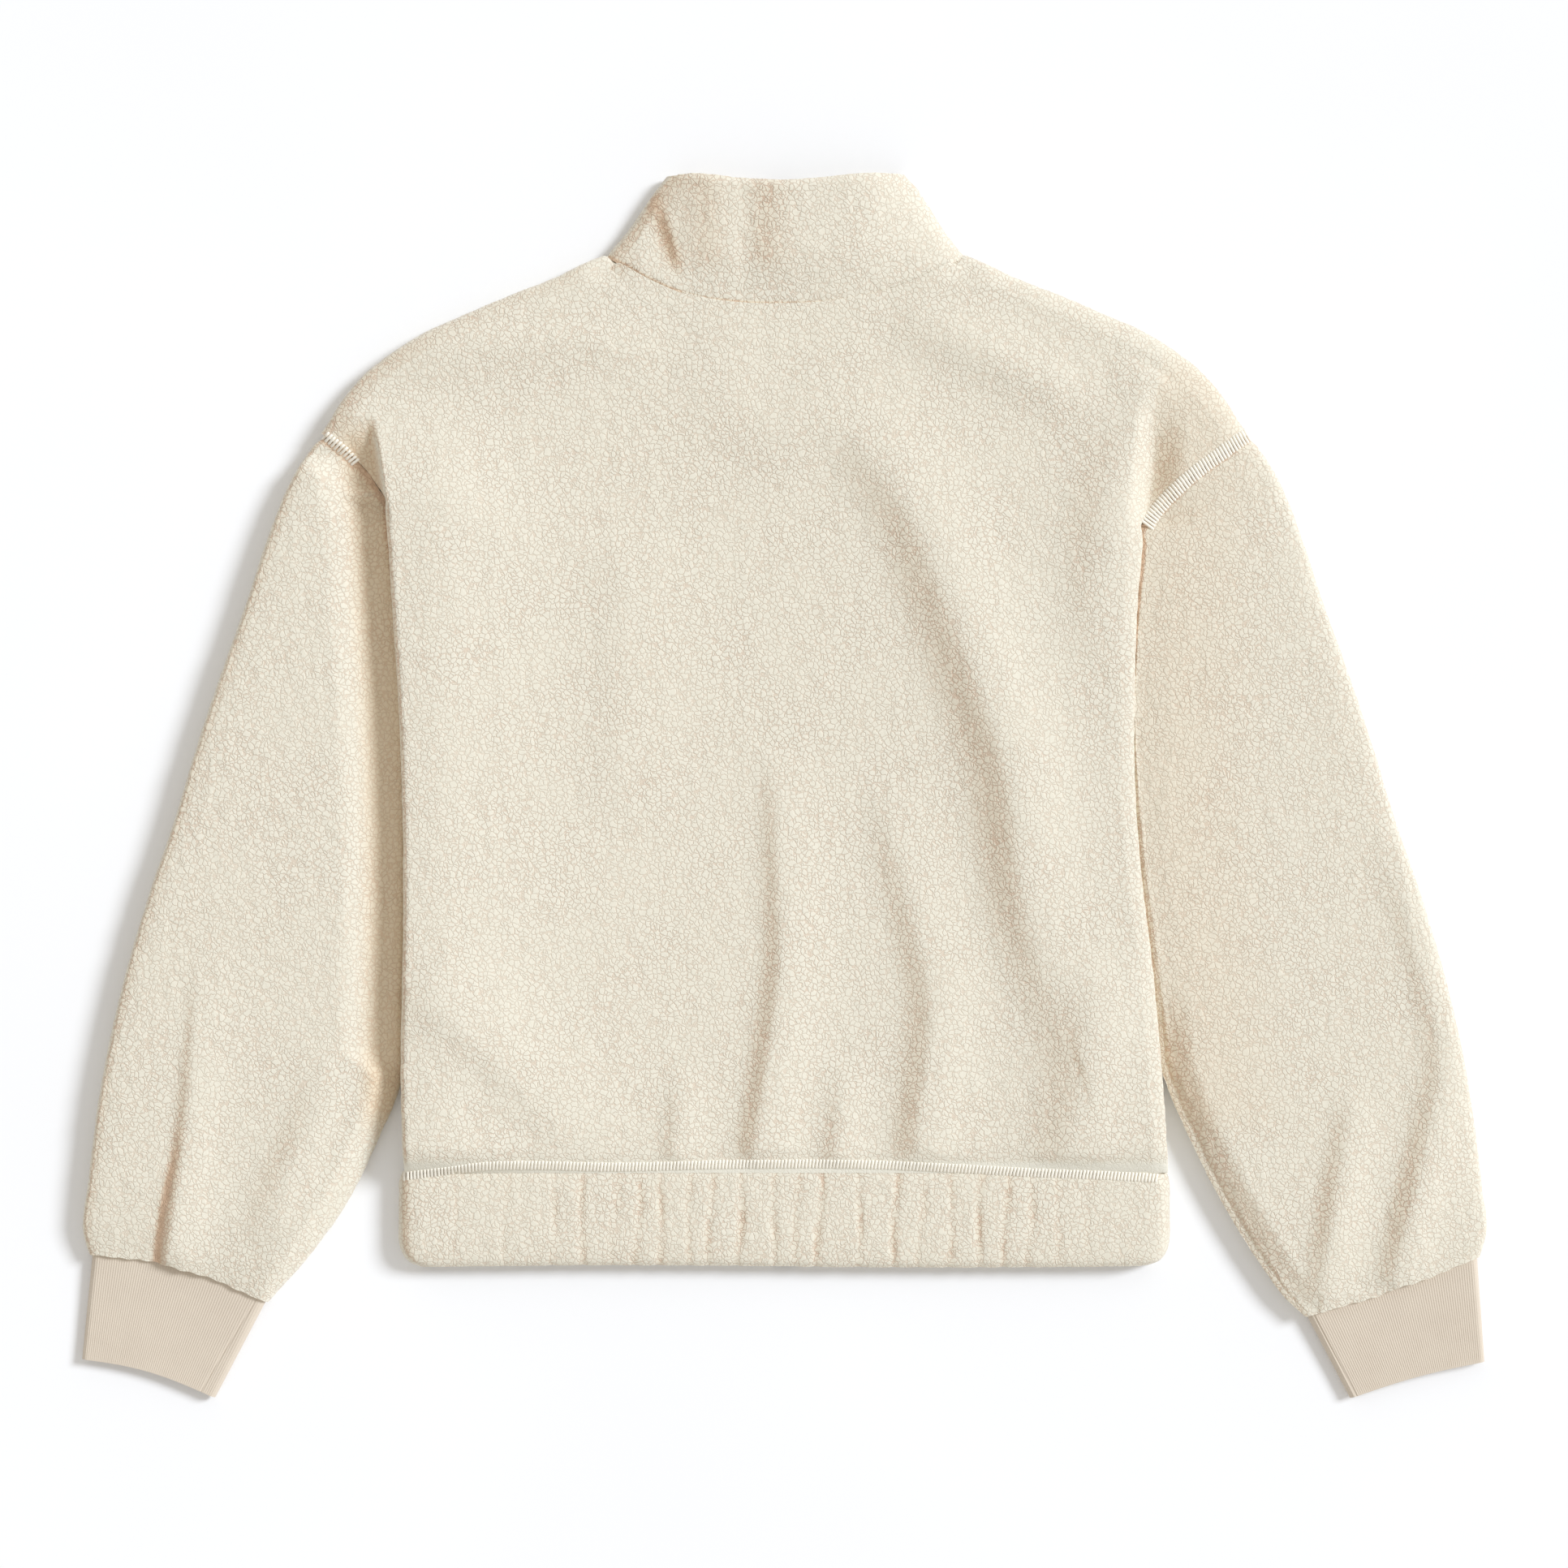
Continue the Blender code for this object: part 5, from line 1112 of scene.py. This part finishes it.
def zip_teeth():
    """A row of teeth, alternately from the left and the right tape."""
    deselect_all()
    start = (Vector((-TEETH_APART / 2, ZIP_BOTTOM_Y + 4, TOOTH_Z)) - Vector(CENTRE)) * MM
    bpy.ops.mesh.primitive_cube_add(size=1, location=start)
    piece = bpy.context.object
    piece.name = "zip_teeth"
    piece.scale = [MM * side for side in TOOTH_SIZE]
    bpy.ops.object.transform_apply(location=False, rotation=False, scale=True)
    open_mesh(piece)
    bpy.ops.mesh.bevel(offset=TOOTH_BEVEL * MM, segments=1)
    bpy.ops.mesh.duplicate_move(TRANSFORM_OT_translate={
        "value": (TEETH_APART * MM, TOOTH_PITCH / 2 * MM, 0)})
    bpy.ops.object.mode_set(mode="OBJECT")
    row = piece.modifiers.new("row", "ARRAY")
    row.use_relative_offset = False
    row.use_constant_offset = True
    row.constant_offset_displace = (0, TOOTH_PITCH * MM, 0)
    row.count = int((ZIP_TOP_Y - ZIP_BOTTOM_Y - 16) / TOOTH_PITCH)
    bpy.ops.object.modifier_apply(modifier="row")
    bpy.ops.object.transform_apply(location=True, rotation=True, scale=True)
    piece.select_set(False)
    return piece


def woven_finish(name, dark, light, scale):
    """Narrow woven tape or moulded teeth with a fine grain."""
    finish = Finish(name, Roughness=0.75, Specular_IOR_Level=0.3)
    weave = finish.node("ShaderNodeTexWave", {"bands_direction": "DIAGONAL"},
                        {"Vector": finish.place, "Scale": scale, "Distortion": 1.5}, "Fac")
    tone = weave * 0.6 + finish.clouds(finish.place, scale * 1.7) * 0.4
    finish.coat(finish.ramp(tone, (0.1, dark), (0.9, light)), tone, 0.5, 0.0002)
    return finish.material


tape = zip_tape()
tape.data.materials.append(woven_finish("zip_tape_weave", (0.58, 0.52, 0.42), (0.76, 0.71, 0.61),
                                        420.0))
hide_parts("zip_chain")
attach(tape, "jacket")
teeth = zip_teeth()
teeth.data.materials.append(woven_finish("zip_teeth_plastic", (0.66, 0.61, 0.52),
                                         (0.78, 0.74, 0.65), 900.0))
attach(teeth, "jacket")

# The zip's slider and its pull: die-cast and plated, lightly brushed. They are the frame's own
# parts; the pull hangs on a pin under the slider's bail.
METAL_DARK = (0.50, 0.48, 0.45)
METAL_LIGHT = (0.68, 0.66, 0.62)


def metal_finish(name, dark, light):
    """Plated zinc with fine brushing and duller patches."""
    finish = Finish(name, Metallic=1.0)
    brushed = finish.node("ShaderNodeMapping", {},
                          {"Vector": finish.place, "Scale": (4000.0, 300.0, 4000.0)})
    lines = finish.clouds(brushed, 1.0)
    dull = finish.clouds(finish.place, 300.0)
    finish.coat(finish.ramp(dull, (0.3, dark), (0.7, light)), lines, 0.3, 0.0001)
    finish.feed("Roughness", 0.28 + dull * 0.22)
    return finish.material


plated = metal_finish("zip_plating", METAL_DARK, METAL_LIGHT)
for node in ("zip_slider", "zip_pull"):
    solid = bpy.data.objects[node]
    solid.data.materials.clear()
    solid.data.materials.append(plated)

# The studio: a plain pale floor, a soft key light from the upper right, even light from all
# round, and a camera straight above, at the photograph's angle.
FLOOR_SIZE = 6.0
PIXELS = 1932
MM_PER_PIXEL = 0.47
LENS, SENSOR = 85.0, 36.0
MIDDLE_HEIGHT = 0.012
KEY_FROM = Vector((1.0, 0.45, 0.75))
KEY_STRENGTH, KEY_ANGLE = 2.45, 18.0
KEY_COLOUR = (0.97, 1.02, 1.10)
SKY_STRENGTH, SKY_COLOUR = 0.61, (1.0, 0.975, 0.94, 1.0)
PAPER_DARK, PAPER_LIGHT = (0.95, 0.95, 0.95), (0.97, 0.97, 0.97)

deselect_all()
bpy.ops.mesh.primitive_plane_add(size=FLOOR_SIZE, location=(0, 0, -0.0002))
floor = bpy.context.object
floor.name = "studio_floor"
paper = Finish("studio_paper", Roughness=0.9, Specular_IOR_Level=0.1)
fibres = paper.clouds(paper.place, 3.0)
paper.feed("Base Color", paper.ramp(fibres, (0.3, PAPER_DARK), (0.7, PAPER_LIGHT)))
floor.data.materials.append(paper.material)

key = bpy.data.objects.new("key_light", bpy.data.lights.new("key_light", "SUN"))
key.data.energy = KEY_STRENGTH
key.data.color = KEY_COLOUR
key.data.angle = math.radians(KEY_ANGLE)
key.rotation_euler = KEY_FROM.to_track_quat("Z", "Y").to_euler()
bpy.context.scene.collection.objects.link(key)

world = bpy.data.worlds.new("studio")
world.use_nodes = True
sky = world.node_tree.nodes["Background"]
sky.inputs["Color"].default_value = SKY_COLOUR
sky.inputs["Strength"].default_value = SKY_STRENGTH
bpy.context.scene.world = world
bpy.context.scene.view_settings.view_transform = "Standard"

camera = bpy.data.objects.new("camera", bpy.data.cameras.new("camera"))
camera.data.lens = LENS
camera.data.sensor_width = SENSOR
camera.location = (0.0001, 0.0015, MIDDLE_HEIGHT + PIXELS * MM_PER_PIXEL * MM * LENS / SENSOR)
bpy.context.scene.collection.objects.link(camera)
bpy.context.scene.camera = camera
